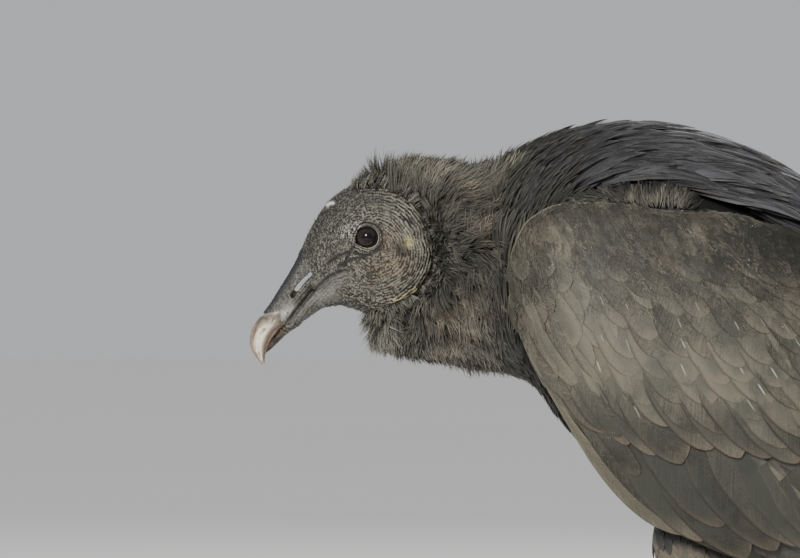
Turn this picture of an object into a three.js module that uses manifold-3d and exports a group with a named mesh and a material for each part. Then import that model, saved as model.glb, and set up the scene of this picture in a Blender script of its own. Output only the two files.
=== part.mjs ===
// A black vulture, life size, standing hunched with its head stretched forward and down.
// Millimetres, +Z up, the ground at z = 0. The bird faces -X, and its left side is -Y.
// Body shapes are lofts through stations. A station gives a section's upper and lower
// point in the side view and its half width, so it reads like a measured drawing.

import * as THREE from "three";
import { mergeVertices } from "three/addons/utils/BufferGeometryUtils.js";
import Module from "manifold-3d";

const wasm = await Module();
wasm.setup();

// ---------- driving dimensions ----------

const GAP = 0.45; // clearance cut round a piece where another piece meets it
const EYE_RADIUS = 6.5;
const EYE_CLEARANCE = 0.35;
const EYE_CENTRE = [-167.7, 15.2, 316.7];
const ORBIT = { centre: [-167.2, 27, 316.7], radii: [11.5, 8.6, 10.5] }; // the hollow round the eye
const NOSTRIL = { front: [-207.2, 285.4], rear: [-199.2, 295.4], height: 2.4 };
const FOOT_X = 36; // the middle of the feet, along the bird
const FOOT_Y = 37; // from the mid-plane to the middle of each foot
const STRIDE = 8; // the left foot stands this far ahead, the right foot this far behind
const TOE_REST = 0.84; // height of a toe's middle over its radius: the ground presses it flat

// Stations: [upper x, upper z, lower x, lower z, half width]
const HEAD = [
  [-204.1, 307.4, -191.9, 278.0, 8.8],
  [-197.2, 322.2, -183.4, 280.1, 13.2],
  [-188.7, 335.0, -175.4, 278.4, 17.0],
  [-178.1, 342.9, -166.4, 275.8, 20.0],
  [-165.4, 346.4, -156.3, 276.1, 22.0],
  [-151.6, 343.5, -147.9, 279.3, 22.5],
  [-141.0, 335.0, -139.9, 286.2, 20.0],
  [-134.6, 324.0, -134.1, 295.2, 14.0],
  [-131.7, 313.2, -131.7, 305.8, 5.0],
];

const UPPER_BILL = [
  [-204.1, 307.1, -192.1, 292.8, 8.6],
  [-208.8, 298.4, -199.3, 284.8, 7.4],
  [-214.7, 288.9, -204.8, 277.9, 6.2],
  [-220.5, 279.8, -209.1, 271.8, 5.3],
  [-226.0, 272.9, -213.1, 267.9, 4.8],
  [-229.5, 265.5, -217.3, 261.8, 4.2],
  [-229.0, 258.1, -220.5, 256.3, 3.0],
  [-225.8, 252.3, -221.8, 252.0, 1.6],
  [-223.7, 249.6, -222.1, 249.6, 0.7],
];

const LOWER_BILL = [
  [-191.9, 292.0, -190.8, 278.2, 8.2],
  [-199.0, 283.6, -197.7, 273.7, 6.8],
  [-204.3, 276.7, -203.5, 269.5, 5.4],
  [-208.3, 270.4, -209.6, 266.1, 4.2],
  [-211.5, 266.8, -213.4, 263.4, 3.0],
  [-213.8, 263.8, -214.8, 261.9, 1.4],
];

const NECK = [
  [-176.0, 347.7, -171.2, 275.6, 8],
  [-166.4, 357.8, -165.9, 261.8, 14],
  [-150.5, 362.0, -151.1, 250.7, 18.5],
  [-130.5, 361.6, -130.5, 246.0, 30],
  [-109.2, 358.3, -106.0, 243.3, 39],
  [-93.3, 362.0, -81.6, 240.1, 46],
];

const TRUNK = [
  [-93.3, 362.0, -81.6, 240.1, 46],
  [-63.1, 373.1, -64.1, 217.8, 56],
  [-23.3, 376.8, -39.2, 194.0, 64],
  [24.4, 366.2, -10.1, 172.8, 68],
  [66.8, 342.4, 21.7, 158.5, 65],
  [98.6, 303.2, 53.5, 145.2, 57],
  [122.4, 256.5, 82.7, 129.3, 46],
  [138.3, 208.8, 106.5, 116.1, 34],
  [148.9, 171.7, 127.7, 105.5, 23],
  [160.0, 143.0, 149.0, 96.0, 14],
];

const TRUNK_START = 0.006; // the share of its length left free for the gap to the neck

// Wing stations: [upper x, y, z, lower x, y, z, outward bulge, inward depth]
const WING = [
  [-91.2, 50, 312.2, -91.2, 50, 288.3, 4, 8],
  [-81.6, 54, 329.7, -81.6, 59, 244.9, 14, 20],
  [-55.1, 58, 339.7, -52.5, 67, 196.1, 22, 34],
  [-12.7, 56, 342.9, -2.1, 72, 161.1, 26, 38],
  [40.3, 49, 332.8, 56.2, 73, 134.6, 27, 36],
  [93.3, 32, 300.0, 109.2, 68, 99.1, 26, 28],
  [135.7, 17, 245.9, 154.2, 60, 65.7, 22, 17],
  [172.8, 9, 179.7, 188.7, 51, 40.8, 16, 10],
  [201.9, 8, 108.1, 212.5, 44, 23.3, 10, 6],
  [220.5, 14, 47.2, 223.7, 36, 14.8, 4, 3],
];
const WING_RINGS = 20; // from the shoulder to the wing's tip
const WING_STEPS = 10; // from a wing's upper edge to its lower edge
const WING_PARTS = { wing_coverts: [0, 10], secondaries: [10, 15], primaries: [15, 20] };
const WING_EDGE = 0.9; // thickness along its free edges
const WING_PART_GAP = 0.0008; // as a share of the wing's length, about 0.3 mm

// Tail stations: [x, z, half width, thickness, roof height]
const TAIL = [
  [112, 157, 16, 12, 5],
  [150, 113, 21, 9, 6],
  [190, 66, 27, 6, 6],
  [228, 21, 33, 3, 5],
  [233, 15, 31, 1.4, 4],
];
const TAIL_STEPS = 6;
const TAIL_EDGE = 1.2; // thickness along its sides

// Thigh stations: [front x, front z, rear x, rear z, half width, y]
const THIGH = [
  [-20.7, 208.8, 45.6, 214.1, 24, 44],
  [-18.0, 177.0, 49.8, 171.7, 25, 45],
  [-13.2, 147.9, 53.5, 137.3, 23, 44],
  [3.2, 118.7, 59.9, 110.8, 18, 42],
  [23.3, 97.5, 66.8, 94.9, 13.5, 40],
  [41.3, 82.6, 66.5, 82.0, 8.5, 38.5],
];
const KNEE_SHEAR = 130; // the stride's offset dies away over this height above the ankle

// Tarsus stations, from the middle of the foot: [front x, front z, rear x, rear z, half width, y]
const TARSUS = [
  [6.6, 81.0, 29.8, 80.6, 7.2, 1.3],
  [8.6, 73.5, 29.4, 75.0, 7.6, 1.0],
  [8.8, 64.0, 24.6, 66.5, 6.0, 0.6],
  [5.6, 50.0, 17.8, 52.5, 5.0, 0.2],
  [1.0, 33.0, 13.0, 35.5, 5.0, 0],
  [-4.2, 17.0, 11.0, 19.0, 6.8, 0],
  [-9.2, 8.0, 9.6, 8.0, 8.6, 0],
  [-8.4, 0.0, 8.4, 0.0, 7.4, 0],
];
const ANKLE_Z = TARSUS[0][1];

// Toes: turn is measured from straight ahead, towards the bird's outside.
const TOES = [
  { name: "middle", turn: 2, length: 64, claw: 18, radius: 4.9 },
  { name: "inner", turn: -32, length: 40, claw: 16, radius: 4.6 },
  { name: "outer", turn: 30, length: 46, claw: 15, radius: 4.4 },
  { name: "hind", turn: 172, length: 24, claw: 13, radius: 4.0 },
];

const SIDES = [["left", -1], ["right", 1]];

// ---------- colours ----------

const finish = (color, roughness, metalness = 0) =>
  new THREE.MeshStandardMaterial({ color, roughness, metalness });

const COLOURS = {
  bareSkin: finish(0x5a574e, 0.8),
  ruff: finish(0x3a3834, 0.9),
  mantle: finish(0x34353a, 0.6),
  wing: finish(0x504c45, 0.65),
  flight: finish(0x3f3d3a, 0.55),
  horn: finish(0xb3a595, 0.35),
  darkHorn: finish(0x4b4846, 0.4),
  eye: finish(0x2b1c16, 0.05),
  legSkin: finish(0x8b877d, 0.8),
  claw: finish(0x2a2826, 0.4),
};

// ---------- shape tools ----------

// Values between the rows of a station table, on a smooth Catmull-Rom curve through them.
function stationAt(rows, t) {
  const place = THREE.MathUtils.clamp(t, 0, 1) * (rows.length - 1);
  const i = Math.min(Math.floor(place), rows.length - 2);
  const u = place - i;
  const row = (k) => rows[THREE.MathUtils.clamp(k, 0, rows.length - 1)];
  return rows[0].map((_, c) => {
    const [a, b, d, e] = [row(i - 1)[c], row(i)[c], row(i + 1)[c], row(i + 2)[c]];
    const slopeIn = (d - a) / 2;
    const slopeOut = (e - b) / 2;
    return (
      (2 * u ** 3 - 3 * u ** 2 + 1) * b +
      (u ** 3 - 2 * u ** 2 + u) * slopeIn +
      (3 * u ** 2 - 2 * u ** 3) * d +
      (u ** 3 - u ** 2) * slopeOut
    );
  });
}

// A closed ring between an upper and a lower point. taper narrows its upper half, and power
// squares it off from an ellipse.
function ovalRing([upX, upZ, lowX, lowZ, halfWidth, y = 0], sides, { taper = 0, power = 1 } = {}) {
  const upper = new THREE.Vector3(upX, y, upZ);
  const lower = new THREE.Vector3(lowX, y, lowZ);
  const middle = upper.clone().add(lower).multiplyScalar(0.5);
  const half = upper.clone().sub(lower).multiplyScalar(0.5);
  const ring = [];
  for (let k = 0; k < sides; k++) {
    const angle = ((k + 0.5) / sides) * 2 * Math.PI;
    const along = Math.sign(Math.cos(angle)) * Math.abs(Math.cos(angle)) ** power;
    const across = Math.sign(Math.sin(angle)) * Math.abs(Math.sin(angle)) ** power;
    const width = halfWidth * (1 - taper * along);
    ring.push(middle.clone().addScaledVector(half, along).add(new THREE.Vector3(0, width * across, 0)));
  }
  return ring;
}

// A thin curved ring, outer side first: the section of a folded wing or of a tail.
function shellRing(upper, lower, outward, { bulge, depth, edge, extra = 0 }, steps) {
  const outer = [];
  const inner = [];
  for (let k = 0; k <= steps; k++) {
    const share = k / steps;
    const arch = Math.sin(Math.PI * share) ** 0.8;
    const skin = upper.clone().lerp(lower, share).addScaledVector(outward, bulge * arch);
    outer.push(skin);
    inner.push(skin.clone().addScaledVector(outward, -Math.max(edge, depth * arch) - extra));
  }
  return [...outer, ...inner.reverse()];
}

// The closed geometry through a row of rings, its faces turned outward.
function loft(rings) {
  const sides = rings[0].length;
  const corners = rings.flat();
  const faces = [];
  const quad = (a, b, c, d) => faces.push(a, b, c, a, c, d);
  for (let r = 0; r + 1 < rings.length; r++)
    for (let k = 0; k < sides; k++) {
      const next = (k + 1) % sides;
      quad(r * sides + k, r * sides + next, (r + 1) * sides + next, (r + 1) * sides + k);
    }
  const last = (rings.length - 1) * sides;
  for (let k = 0; k + 1 < sides / 2; k++) {
    quad(k, sides - 1 - k, sides - 2 - k, k + 1);
    quad(last + k, last + k + 1, last + sides - 2 - k, last + sides - 1 - k);
  }
  let volume = 0;
  for (let f = 0; f < faces.length; f += 3) {
    const [a, b, c] = [corners[faces[f]], corners[faces[f + 1]], corners[faces[f + 2]]];
    volume += a.dot(b.clone().cross(c));
  }
  if (volume < 0) faces.reverse();
  return new THREE.BufferGeometry().setFromPoints(corners).setIndex(faces);
}

const rings = (rows, count, from, to, ringOf) =>
  Array.from({ length: count }, (_, i) => ringOf(stationAt(rows, from + ((to - from) * i) / (count - 1))));

const ovalLoft = (rows, sides, count, shape = {}, from = 0, to = 1) =>
  loft(rings(rows, count, from, to, (row) => ovalRing(row, sides, shape)));

// The geometry of the same piece on the other side of the bird.
function mirrored(geometry) {
  const other = geometry.clone().scale(1, -1, 1);
  const index = [...other.index.array].reverse();
  return other.setIndex(index);
}

function solidOf(geometry) {
  const bare = geometry.clone();
  bare.deleteAttribute("normal");
  bare.deleteAttribute("uv");
  const merged = mergeVertices(bare, 1e-4);
  return new wasm.Manifold(
    new wasm.Mesh({
      numProp: 3,
      vertProperties: Float32Array.from(merged.attributes.position.array),
      triVerts: Uint32Array.from(merged.index.array),
    }),
  );
}

function geometryOf(solid) {
  const mesh = solid.getMesh();
  return new THREE.BufferGeometry()
    .setAttribute("position", new THREE.BufferAttribute(Float32Array.from(mesh.vertProperties), 3))
    .setIndex(new THREE.BufferAttribute(Uint32Array.from(mesh.triVerts), 1));
}

// The same shape with every face moved out by a clearance, for cutting a neighbour.
function swollen(geometry, by = GAP) {
  const merged = mergeVertices(geometry.clone(), 1e-4);
  merged.computeVertexNormals();
  const { position, normal } = merged.attributes;
  const index = merged.index.array;
  const at = (attribute, i) => new THREE.Vector3().fromBufferAttribute(attribute, i);
  const reach = new Float32Array(position.count).fill(1);
  for (let f = 0; f < index.length; f += 3) {
    const corners = [index[f], index[f + 1], index[f + 2]];
    const [a, b, c] = corners.map((i) => at(position, i));
    const face = b.sub(a).cross(c.sub(a)).normalize();
    for (const i of corners) reach[i] = Math.min(reach[i], Math.max(0.3, face.dot(at(normal, i))));
  }
  for (let i = 0; i < position.count; i++) {
    const moved = at(position, i).addScaledVector(at(normal, i), by / reach[i]);
    position.setXYZ(i, moved.x, moved.y, moved.z);
  }
  return solidOf(merged);
}

// A geometry with its neighbours' swollen shapes cut away. Only the largest piece is kept.
function cutBy(geometry, ...neighbours) {
  let left = solidOf(geometry);
  for (const neighbour of neighbours) left = left.subtract(neighbour);
  const pieces = left.decompose().sort((a, b) => b.volume() - a.volume());
  return geometryOf(pieces[0]);
}

// ---------- head, bill and eyes ----------

const headWhole = ovalLoft(HEAD, 22, 15, { taper: 0.16, power: 0.92 });
const upperBillWhole = ovalLoft(UPPER_BILL, 12, 12, { taper: 0.3 });
const lowerBill = ovalLoft(LOWER_BILL, 10, 7, { taper: -0.2 });
const eyeball = new THREE.SphereGeometry(EYE_RADIUS, 12, 8);

// What is cut from the head for one eye: a ball a little larger than the eye, and its orbit.
function eyeHollow([x, y, z], side) {
  const socket = new THREE.SphereGeometry(EYE_RADIUS + EYE_CLEARANCE, 12, 8);
  const orbit = new THREE.SphereGeometry(1, 16, 12).scale(...ORBIT.radii);
  const [orbitX, orbitY, orbitZ] = ORBIT.centre;
  return [
    solidOf(socket.translate(x, side * y, z)),
    solidOf(orbit.translate(orbitX, side * orbitY, orbitZ)),
  ];
}

// The nostrils meet through the bill, so one slot runs right across it.
function nostrilSlot() {
  const front = new THREE.Vector2(...NOSTRIL.front);
  const rear = new THREE.Vector2(...NOSTRIL.rear);
  const length = front.distanceTo(rear);
  const slope = Math.atan2(rear.y - front.y, rear.x - front.x);
  const round = NOSTRIL.height / 2;
  const outline = new THREE.Shape();
  outline.absarc(0, 0, round, Math.PI / 2, (3 * Math.PI) / 2);
  outline.absarc(length, 0, round, -Math.PI / 2, Math.PI / 2);
  const reach = 40;
  return new THREE.ExtrudeGeometry(outline, { depth: reach, bevelEnabled: false, curveSegments: 4 })
    .translate(0, 0, -reach / 2)
    .rotateX(Math.PI / 2)
    .rotateY(-slope)
    .translate(front.x, 0, front.y);
}

const head = cutBy(
  headWhole,
  swollen(upperBillWhole),
  swollen(lowerBill),
  ...eyeHollow(EYE_CENTRE, 1),
  ...eyeHollow(EYE_CENTRE, -1),
);
const upperBill = cutBy(upperBillWhole, solidOf(nostrilSlot()));

// ---------- neck and trunk ----------

const neckWhole = ovalLoft(NECK, 24, 10);
const neck = cutBy(neckWhole, swollen(headWhole));
const trunk = ovalLoft(TRUNK, 26, 17, {}, TRUNK_START, 1);
const bodyCutters = [swollen(trunk), swollen(neckWhole)];

// ---------- wings ----------

// grow moves the ring's whole outline out by a clearance.
function wingRing(place, grow) {
  const [upX, upY, upZ, lowX, lowY, lowZ, bulge, depth] = stationAt(WING, place);
  const upper = new THREE.Vector3(upX, upY, upZ);
  const lower = new THREE.Vector3(lowX, lowY, lowZ);
  const chord = lower.clone().sub(upper).normalize();
  const outward = new THREE.Vector3(0, 1, 0).addScaledVector(chord, -chord.y).normalize();
  upper.addScaledVector(outward, grow).addScaledVector(chord, -grow);
  lower.addScaledVector(outward, grow).addScaledVector(chord, grow);
  return shellRing(upper, lower, outward, { bulge, depth, edge: WING_EDGE, extra: 2 * grow }, WING_STEPS);
}

// The shell between two of the wing's rings, short of the first by the gap to the part before it.
function wingShell([first, last], gap, grow = 0) {
  const places = Array.from({ length: last - first + 1 }, (_, i) => (first + i) / WING_RINGS);
  places[0] += gap;
  return loft(places.map((place) => wingRing(place, grow)));
}

const wingPart = ([first, last]) =>
  cutBy(wingShell([first, last], first > 0 ? WING_PART_GAP : 0), ...bodyCutters);

const wingSpace = wingShell([0, WING_RINGS], 0, GAP);
const wingSpaces = { right: solidOf(wingSpace), left: solidOf(mirrored(wingSpace)) };

// ---------- tail ----------

function tailRing([x, z, halfWidth, thickness, roof]) {
  const right = new THREE.Vector3(x, halfWidth, z);
  const left = new THREE.Vector3(x, -halfWidth, z);
  const [root, tip] = [TAIL[0], TAIL[TAIL.length - 2]];
  const slope = new THREE.Vector3(tip[0] - root[0], 0, tip[1] - root[1]).normalize();
  const up = new THREE.Vector3(-slope.z, 0, slope.x);
  return shellRing(right, left, up, { bulge: roof, depth: thickness, edge: TAIL_EDGE }, TAIL_STEPS);
}

const tailWhole = loft(rings(TAIL, 8, 0, 1, tailRing));
const tail = cutBy(tailWhole, bodyCutters[0], wingSpaces.left, wingSpaces.right);

// ---------- legs and feet ----------

// The feathered thigh. Its lower end follows the foot's stride, and its upper end stays put.
function thighGeometry(side, stride, wingSpace) {
  const lean = (z) => stride * THREE.MathUtils.clamp(1 - (z - ANKLE_Z) / KNEE_SHEAR, 0, 1);
  const rows = THIGH.map(([frontX, frontZ, rearX, rearZ, halfWidth, y]) => [
    frontX + lean(frontZ),
    frontZ,
    rearX + lean(rearZ),
    rearZ,
    halfWidth,
    side * y,
  ]);
  return cutBy(ovalLoft(rows, 12, 8), bodyCutters[0], wingSpace);
}

// A toe or claw: a tube along a curve, pressed flat where its underside meets the ground.
function groundTube(curve, radiusAt, sides, count, tall = 1) {
  const list = [];
  for (let i = 0; i < count; i++) {
    const t = i / (count - 1);
    const centre = curve.getPoint(t);
    const forward = curve.getTangent(t);
    const across = new THREE.Vector3(-forward.y, forward.x, 0).normalize();
    const up = new THREE.Vector3().crossVectors(across, forward).normalize();
    if (up.z < 0) up.negate();
    const radius = radiusAt(t);
    const ring = [];
    for (let k = 0; k < sides; k++) {
      const angle = ((k + 0.5) / sides) * 2 * Math.PI;
      const point = centre
        .clone()
        .addScaledVector(up, radius * tall * Math.cos(angle))
        .addScaledVector(across, radius * Math.sin(angle));
      point.z = Math.max(point.z, 0);
      ring.push(point);
    }
    list.push(ring);
  }
  return loft(list);
}

// One toe with its claw, from the middle of the right foot.
function toeAndClaw({ turn, length, claw, radius }) {
  const heading = THREE.MathUtils.degToRad(180 - turn);
  const at = (distance, z) =>
    new THREE.Vector3(distance * Math.cos(heading), distance * Math.sin(heading), z);
  const pads = Math.round(length / 15);
  const toeRadius = (t) => {
    const thinning = 1.04 - 0.22 * t;
    const padSwelling = 1 + 0.05 * Math.cos(2 * Math.PI * pads * t);
    return radius * thinning * padSwelling * (t > 0.97 ? 0.8 : 1);
  };
  const rest = (t) => toeRadius(t) * TOE_REST;
  const toeCurve = new THREE.CatmullRomCurve3(
    [0.05, 0.35, 0.7, 1].map((t) => at(length * t, rest(t) + 2.2 * Math.max(0, 0.3 - t))),
  );
  const clawCurve = new THREE.QuadraticBezierCurve3(
    at(length - 0.5, rest(1) + 0.4),
    at(length + claw * 0.55, rest(1) + 3.6),
    at(length + claw, 0.8),
  );
  const clawRadius = (t) => radius * 0.62 * (1 - t) + 0.5;
  return {
    toe: groundTube(toeCurve, toeRadius, 8, 8),
    claw: groundTube(clawCurve, clawRadius, 6, 5, 1.15),
  };
}

// ---------- assembly ----------

const vulture = new THREE.Group();

function add(parent, name, geometry, material) {
  const mesh = new THREE.Mesh(geometry, material);
  mesh.name = name;
  parent.add(mesh);
  return mesh;
}

const headGroup = new THREE.Group();
add(headGroup, "head", head, COLOURS.bareSkin);
add(headGroup, "upper_bill", upperBill, COLOURS.horn);
add(headGroup, "lower_bill", lowerBill, COLOURS.darkHorn);
for (const [sideName, side] of SIDES) {
  const [x, y, z] = EYE_CENTRE;
  add(headGroup, `eye_${sideName}`, eyeball, COLOURS.eye).position.set(x, side * y, z);
}

const bodyGroup = new THREE.Group();
add(bodyGroup, "neck", neck, COLOURS.ruff);
add(bodyGroup, "trunk", trunk, COLOURS.mantle);
add(bodyGroup, "tail", tail, COLOURS.flight);
vulture.add(headGroup, bodyGroup);

// Both wings are one shape: the left wing is the right one mirrored.
const wingParts = Object.entries(WING_PARTS).map(([name, span]) => [name, wingPart(span)]);
const tarsus = ovalLoft(TARSUS, 10, 11);
const toes = [];
const footCutters = [swollen(tarsus)];
for (const plan of TOES) {
  const { toe, claw } = toeAndClaw(plan);
  toes.push({ name: plan.name, toe: cutBy(toe, ...footCutters), claw: cutBy(claw, swollen(toe)) });
  footCutters.push(swollen(toe));
}

for (const [sideName, side] of SIDES) {
  const wing = new THREE.Group();
  wing.scale.y = side;
  for (const [name, geometry] of wingParts)
    add(wing, `${name}_${sideName}`, geometry, name === "wing_coverts" ? COLOURS.wing : COLOURS.flight);

  const stride = side * STRIDE;
  const leg = new THREE.Group();
  leg.position.set(FOOT_X + stride, side * FOOT_Y, 0);
  leg.scale.y = side;
  add(leg, `tarsus_${sideName}`, tarsus, COLOURS.legSkin);
  for (const { name, toe, claw } of toes) {
    add(leg, `toe_${name}_${sideName}`, toe, COLOURS.legSkin);
    add(leg, `claw_${name}_${sideName}`, claw, COLOURS.claw);
  }
  const thigh = thighGeometry(side, stride, wingSpaces[sideName]);
  add(vulture, `thigh_${sideName}`, thigh, COLOURS.ruff);
  vulture.add(wing, leg);
}

// The origin is on the ground, under the middle of the whole bird.
const extent = new THREE.Box3().setFromObject(vulture, true);
vulture.position.x = -(extent.min.x + extent.max.x) / 2;
vulture.position.z = -extent.min.z;

export default vulture;
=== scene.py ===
import math
from itertools import product

import bpy
import numpy as np
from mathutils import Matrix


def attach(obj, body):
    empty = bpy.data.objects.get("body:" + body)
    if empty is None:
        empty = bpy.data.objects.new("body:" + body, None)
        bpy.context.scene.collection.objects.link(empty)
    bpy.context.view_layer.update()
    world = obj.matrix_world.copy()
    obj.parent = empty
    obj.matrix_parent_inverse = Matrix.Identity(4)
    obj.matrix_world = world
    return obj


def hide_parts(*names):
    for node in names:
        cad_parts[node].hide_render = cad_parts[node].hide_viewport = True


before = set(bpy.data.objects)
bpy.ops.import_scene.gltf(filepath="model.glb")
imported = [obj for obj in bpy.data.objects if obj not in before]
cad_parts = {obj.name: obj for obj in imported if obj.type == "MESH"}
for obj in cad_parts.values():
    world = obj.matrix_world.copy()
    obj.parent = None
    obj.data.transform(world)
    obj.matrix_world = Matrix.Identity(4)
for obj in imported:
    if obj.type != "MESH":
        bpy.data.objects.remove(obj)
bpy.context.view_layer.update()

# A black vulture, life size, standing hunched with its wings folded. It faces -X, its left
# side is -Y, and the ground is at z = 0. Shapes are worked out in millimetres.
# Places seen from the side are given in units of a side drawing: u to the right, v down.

import openvdb
from mathutils import Vector

rng = np.random.default_rng(20)

MM = 0.001
UNIT = 0.53  # millimetres to one unit of the side drawing
DRAWING_U0, DRAWING_V0 = 684.0, 834.0  # the drawing's place of x = 0 and z = 0

EYE = np.array([-167.7, 15.2, 316.7])
EYE_RADIUS = 6.5
STRIDE = 8.0
SIDES = (("left", -1), ("right", 1))
FOOT_X, FOOT_Y = 36.0, 37.0


# ---------- camera ----------

FRAME_U, FRAME_V = 800, 558  # what the camera sees, in drawing units
CAMERA_DISTANCE = 6.0
CAMERA_ELEVATION = math.radians(2.0)
LAMP_AIM = Vector((-0.08, 0, 0.25))
AIM = Vector(((FRAME_U / 2 - DRAWING_U0) * UNIT, 0, (DRAWING_V0 - FRAME_V / 2) * UNIT)) * MM

camera_data = bpy.data.cameras.new("camera")
camera_data.sensor_width = 36.0
camera_data.lens = camera_data.sensor_width * CAMERA_DISTANCE / (FRAME_U * UNIT * MM)
camera_data.clip_end = 60.0
camera = bpy.data.objects.new("camera", camera_data)
bpy.context.scene.collection.objects.link(camera)
back = Vector((0, -math.cos(CAMERA_ELEVATION), math.sin(CAMERA_ELEVATION)))
camera.location = AIM + back * CAMERA_DISTANCE
camera.rotation_mode = "QUATERNION"
camera.rotation_quaternion = (-back).to_track_quat("-Z", "Y")
bpy.context.scene.camera = camera


# ---------- numbers ----------

def from_drawing(uv):
    """Side-drawing places as millimetres x, z."""
    uv = np.asarray(uv, float)
    return np.stack([(uv[..., 0] - DRAWING_U0) * UNIT, (DRAWING_V0 - uv[..., 1]) * UNIT], -1)


def drawn(points):
    """Side-drawing u and v of points in millimetres."""
    return points[..., 0] / UNIT + DRAWING_U0, DRAWING_V0 - points[..., 2] / UNIT


def to_drawing(points):
    """Points in millimetres as side-drawing places."""
    return np.stack(drawn(points), -1)


def unit(vectors):
    return vectors / np.maximum(np.linalg.norm(vectors, axis=-1, keepdims=True), 1e-9)


def ease(low, high, x):
    """A smooth step from 0 at low to 1 at high."""
    t = np.clip((x - low) / (high - low), 0, 1)
    return t * t * (3 - 2 * t)


def hill(x, middle, width):
    """1 at the middle, fading to 0 over the width on each side."""
    return np.exp(-(((x - middle) / width) ** 2))


def noise(points, size, seed=0):
    """Smooth noise between -1 and 1, with bumps of about the given size."""
    q = np.asarray(points, float) / size
    cell = np.floor(q).astype(np.int64)
    f = q - cell
    f = f * f * (3 - 2 * f)
    primes = np.array([73856093, 19349663, 83492791], np.int64)[: q.shape[-1]]
    total = np.zeros(q.shape[:-1])
    for corner in product((0, 1), repeat=q.shape[-1]):
        corner = np.array(corner)
        h = ((cell + corner) * primes).sum(-1) + seed * 2654435761
        h = (h ^ (h >> 13)) * 1274126177 & 0xFFFFFFFF
        h = (h ^ (h >> 16)) & 0xFFFF
        total += np.prod(np.where(corner == 1, f, 1 - f), -1) * (h / 32767.5 - 1)
    return total


def uneven(rows, steps, size, seed):
    """Noise along each of many vanes. rows are their own places across the noise."""
    cells = np.broadcast_arrays(np.arange(steps) * 1.0, np.asarray(rows)[:, None] * 1.0)
    return noise(np.stack(cells, -1), size, seed)


def along_line(line, places):
    """Distance from each place to a line of points, and how far along the line that is, 0 to 1."""
    line = np.asarray(line, float)
    lengths = np.linalg.norm(np.diff(line, axis=0), axis=1)
    starts = np.concatenate([[0], np.cumsum(lengths)])
    best = np.full(places.shape[:-1], 1e9)
    share = np.zeros(places.shape[:-1])
    for a, b, start, length in zip(line, line[1:], starts, lengths):
        t = np.clip(((places - a) * (b - a)).sum(-1) / length**2, 0, 1)
        distance = np.linalg.norm(places - a - t[..., None] * (b - a), axis=-1)
        nearer = distance < best
        best = np.where(nearer, distance, best)
        share = np.where(nearer, (start + t * length) / starts[-1], share)
    return best, share


def gap_to(line, places):
    """Distance from each place to a line of points."""
    return along_line(line, places)[0]


def band(line, places, width):
    """1 on a line of points, fading to 0 over the width."""
    return hill(gap_to(line, places), 0, width)


def smooth_line(line, count):
    """A row of points resampled evenly on a smooth curve through it."""
    return stations(np.asarray(line, float), np.linspace(0, 1, count))


def stations(rows, t):
    """Rows of a station table between its given ones, on a Catmull-Rom curve."""
    rows = np.asarray(rows, float)
    place = np.clip(t, 0, 1) * (len(rows) - 1)
    i = np.minimum(place.astype(int), len(rows) - 2)
    u = (place - i)[:, None]
    a, b, c, d = (rows[np.clip(i + k, 0, len(rows) - 1)] for k in (-1, 0, 1, 2))
    return (
        (2 * u**3 - 3 * u**2 + 1) * b
        + (u**3 - 2 * u**2 + u) * (c - a) / 2
        + (3 * u**2 - 2 * u**3) * c
        + (u**3 - u**2) * (d - b) / 2
    )


# ---------- meshes ----------

def grid_faces(rows, columns, wrap):
    """Quads over a grid of points, row by row, closed round its columns if wrap is set."""
    r, c = np.meshgrid(np.arange(rows - 1), np.arange(columns if wrap else columns - 1), indexing="ij")
    r, c = r.ravel(), c.ravel()
    n = (c + 1) % columns
    return np.stack([r * columns + c, (r + 1) * columns + c, (r + 1) * columns + n, r * columns + n], 1)


def outward(points, quads, triangles=np.zeros((0, 3), int)):
    """The same faces, turned so that they face out."""
    faces = np.concatenate([quads[:, [0, 1, 2]], quads[:, [0, 2, 3]], triangles])
    a, b, c = (points[faces[:, k]] for k in range(3))
    if (a * np.cross(b, c)).sum() < 0:
        return quads[:, ::-1], triangles[:, ::-1]
    return quads, triangles


def round_angles(sides):
    return (np.arange(sides) + 0.5) / sides * 2 * math.pi


def oval_rings(rows, sides, count, taper=0.0, power=1.0, span=(0, 1)):
    """Points of a loft through [upper x, z, lower x, z, half width, y] stations, ring by ring."""
    row = stations(rows, np.linspace(*span, count))
    angle = round_angles(sides)
    along, across = (np.sign(way) * np.abs(way) ** power for way in (np.cos(angle), np.sin(angle)))
    middle, half = (row[:, :2] + row[:, 2:4]) / 2, (row[:, :2] - row[:, 2:4]) / 2
    xz = middle[:, None] + half[:, None] * along[None, :, None]
    side = row[:, 5:6] if row.shape[1] > 5 else 0
    y = side + row[:, 4:5] * (1 - taper * along) * across
    return np.stack([xz[..., 0], y, xz[..., 1]], -1)


def solid_loft(rings):
    """A closed mesh through rings of points: points, quads, and a fan of triangles at each end."""
    count, sides = rings.shape[:2]
    points = np.concatenate([rings.reshape(-1, 3), [rings[0].mean(0), rings[-1].mean(0)]])
    first, ring = count * sides, np.arange(sides)
    after, top = (ring + 1) % sides, (count - 1) * sides
    fans = np.concatenate([
        np.stack([np.full(sides, first), ring, after], 1),
        np.stack([np.full(sides, first + 1), top + after, top + ring], 1),
    ])
    return points, *outward(points, grid_faces(count, sides, True), fans)


def tube_rings(path, radius, sides, flat):
    """Rings round a path. flat below 1 makes the tube lower than it is wide."""
    ahead = unit(np.gradient(path, axis=0))
    across = unit(np.stack([-ahead[:, 1], ahead[:, 0], np.zeros(len(path))], 1) + [1e-6, 1e-6, 0])
    up = np.cross(ahead, across)
    angle = round_angles(sides)[None, :, None]
    radius = radius[:, None, None]
    high, wide = radius * flat * up[:, None] * np.cos(angle), radius * across[:, None] * np.sin(angle)
    return path[:, None] + high + wide


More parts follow.
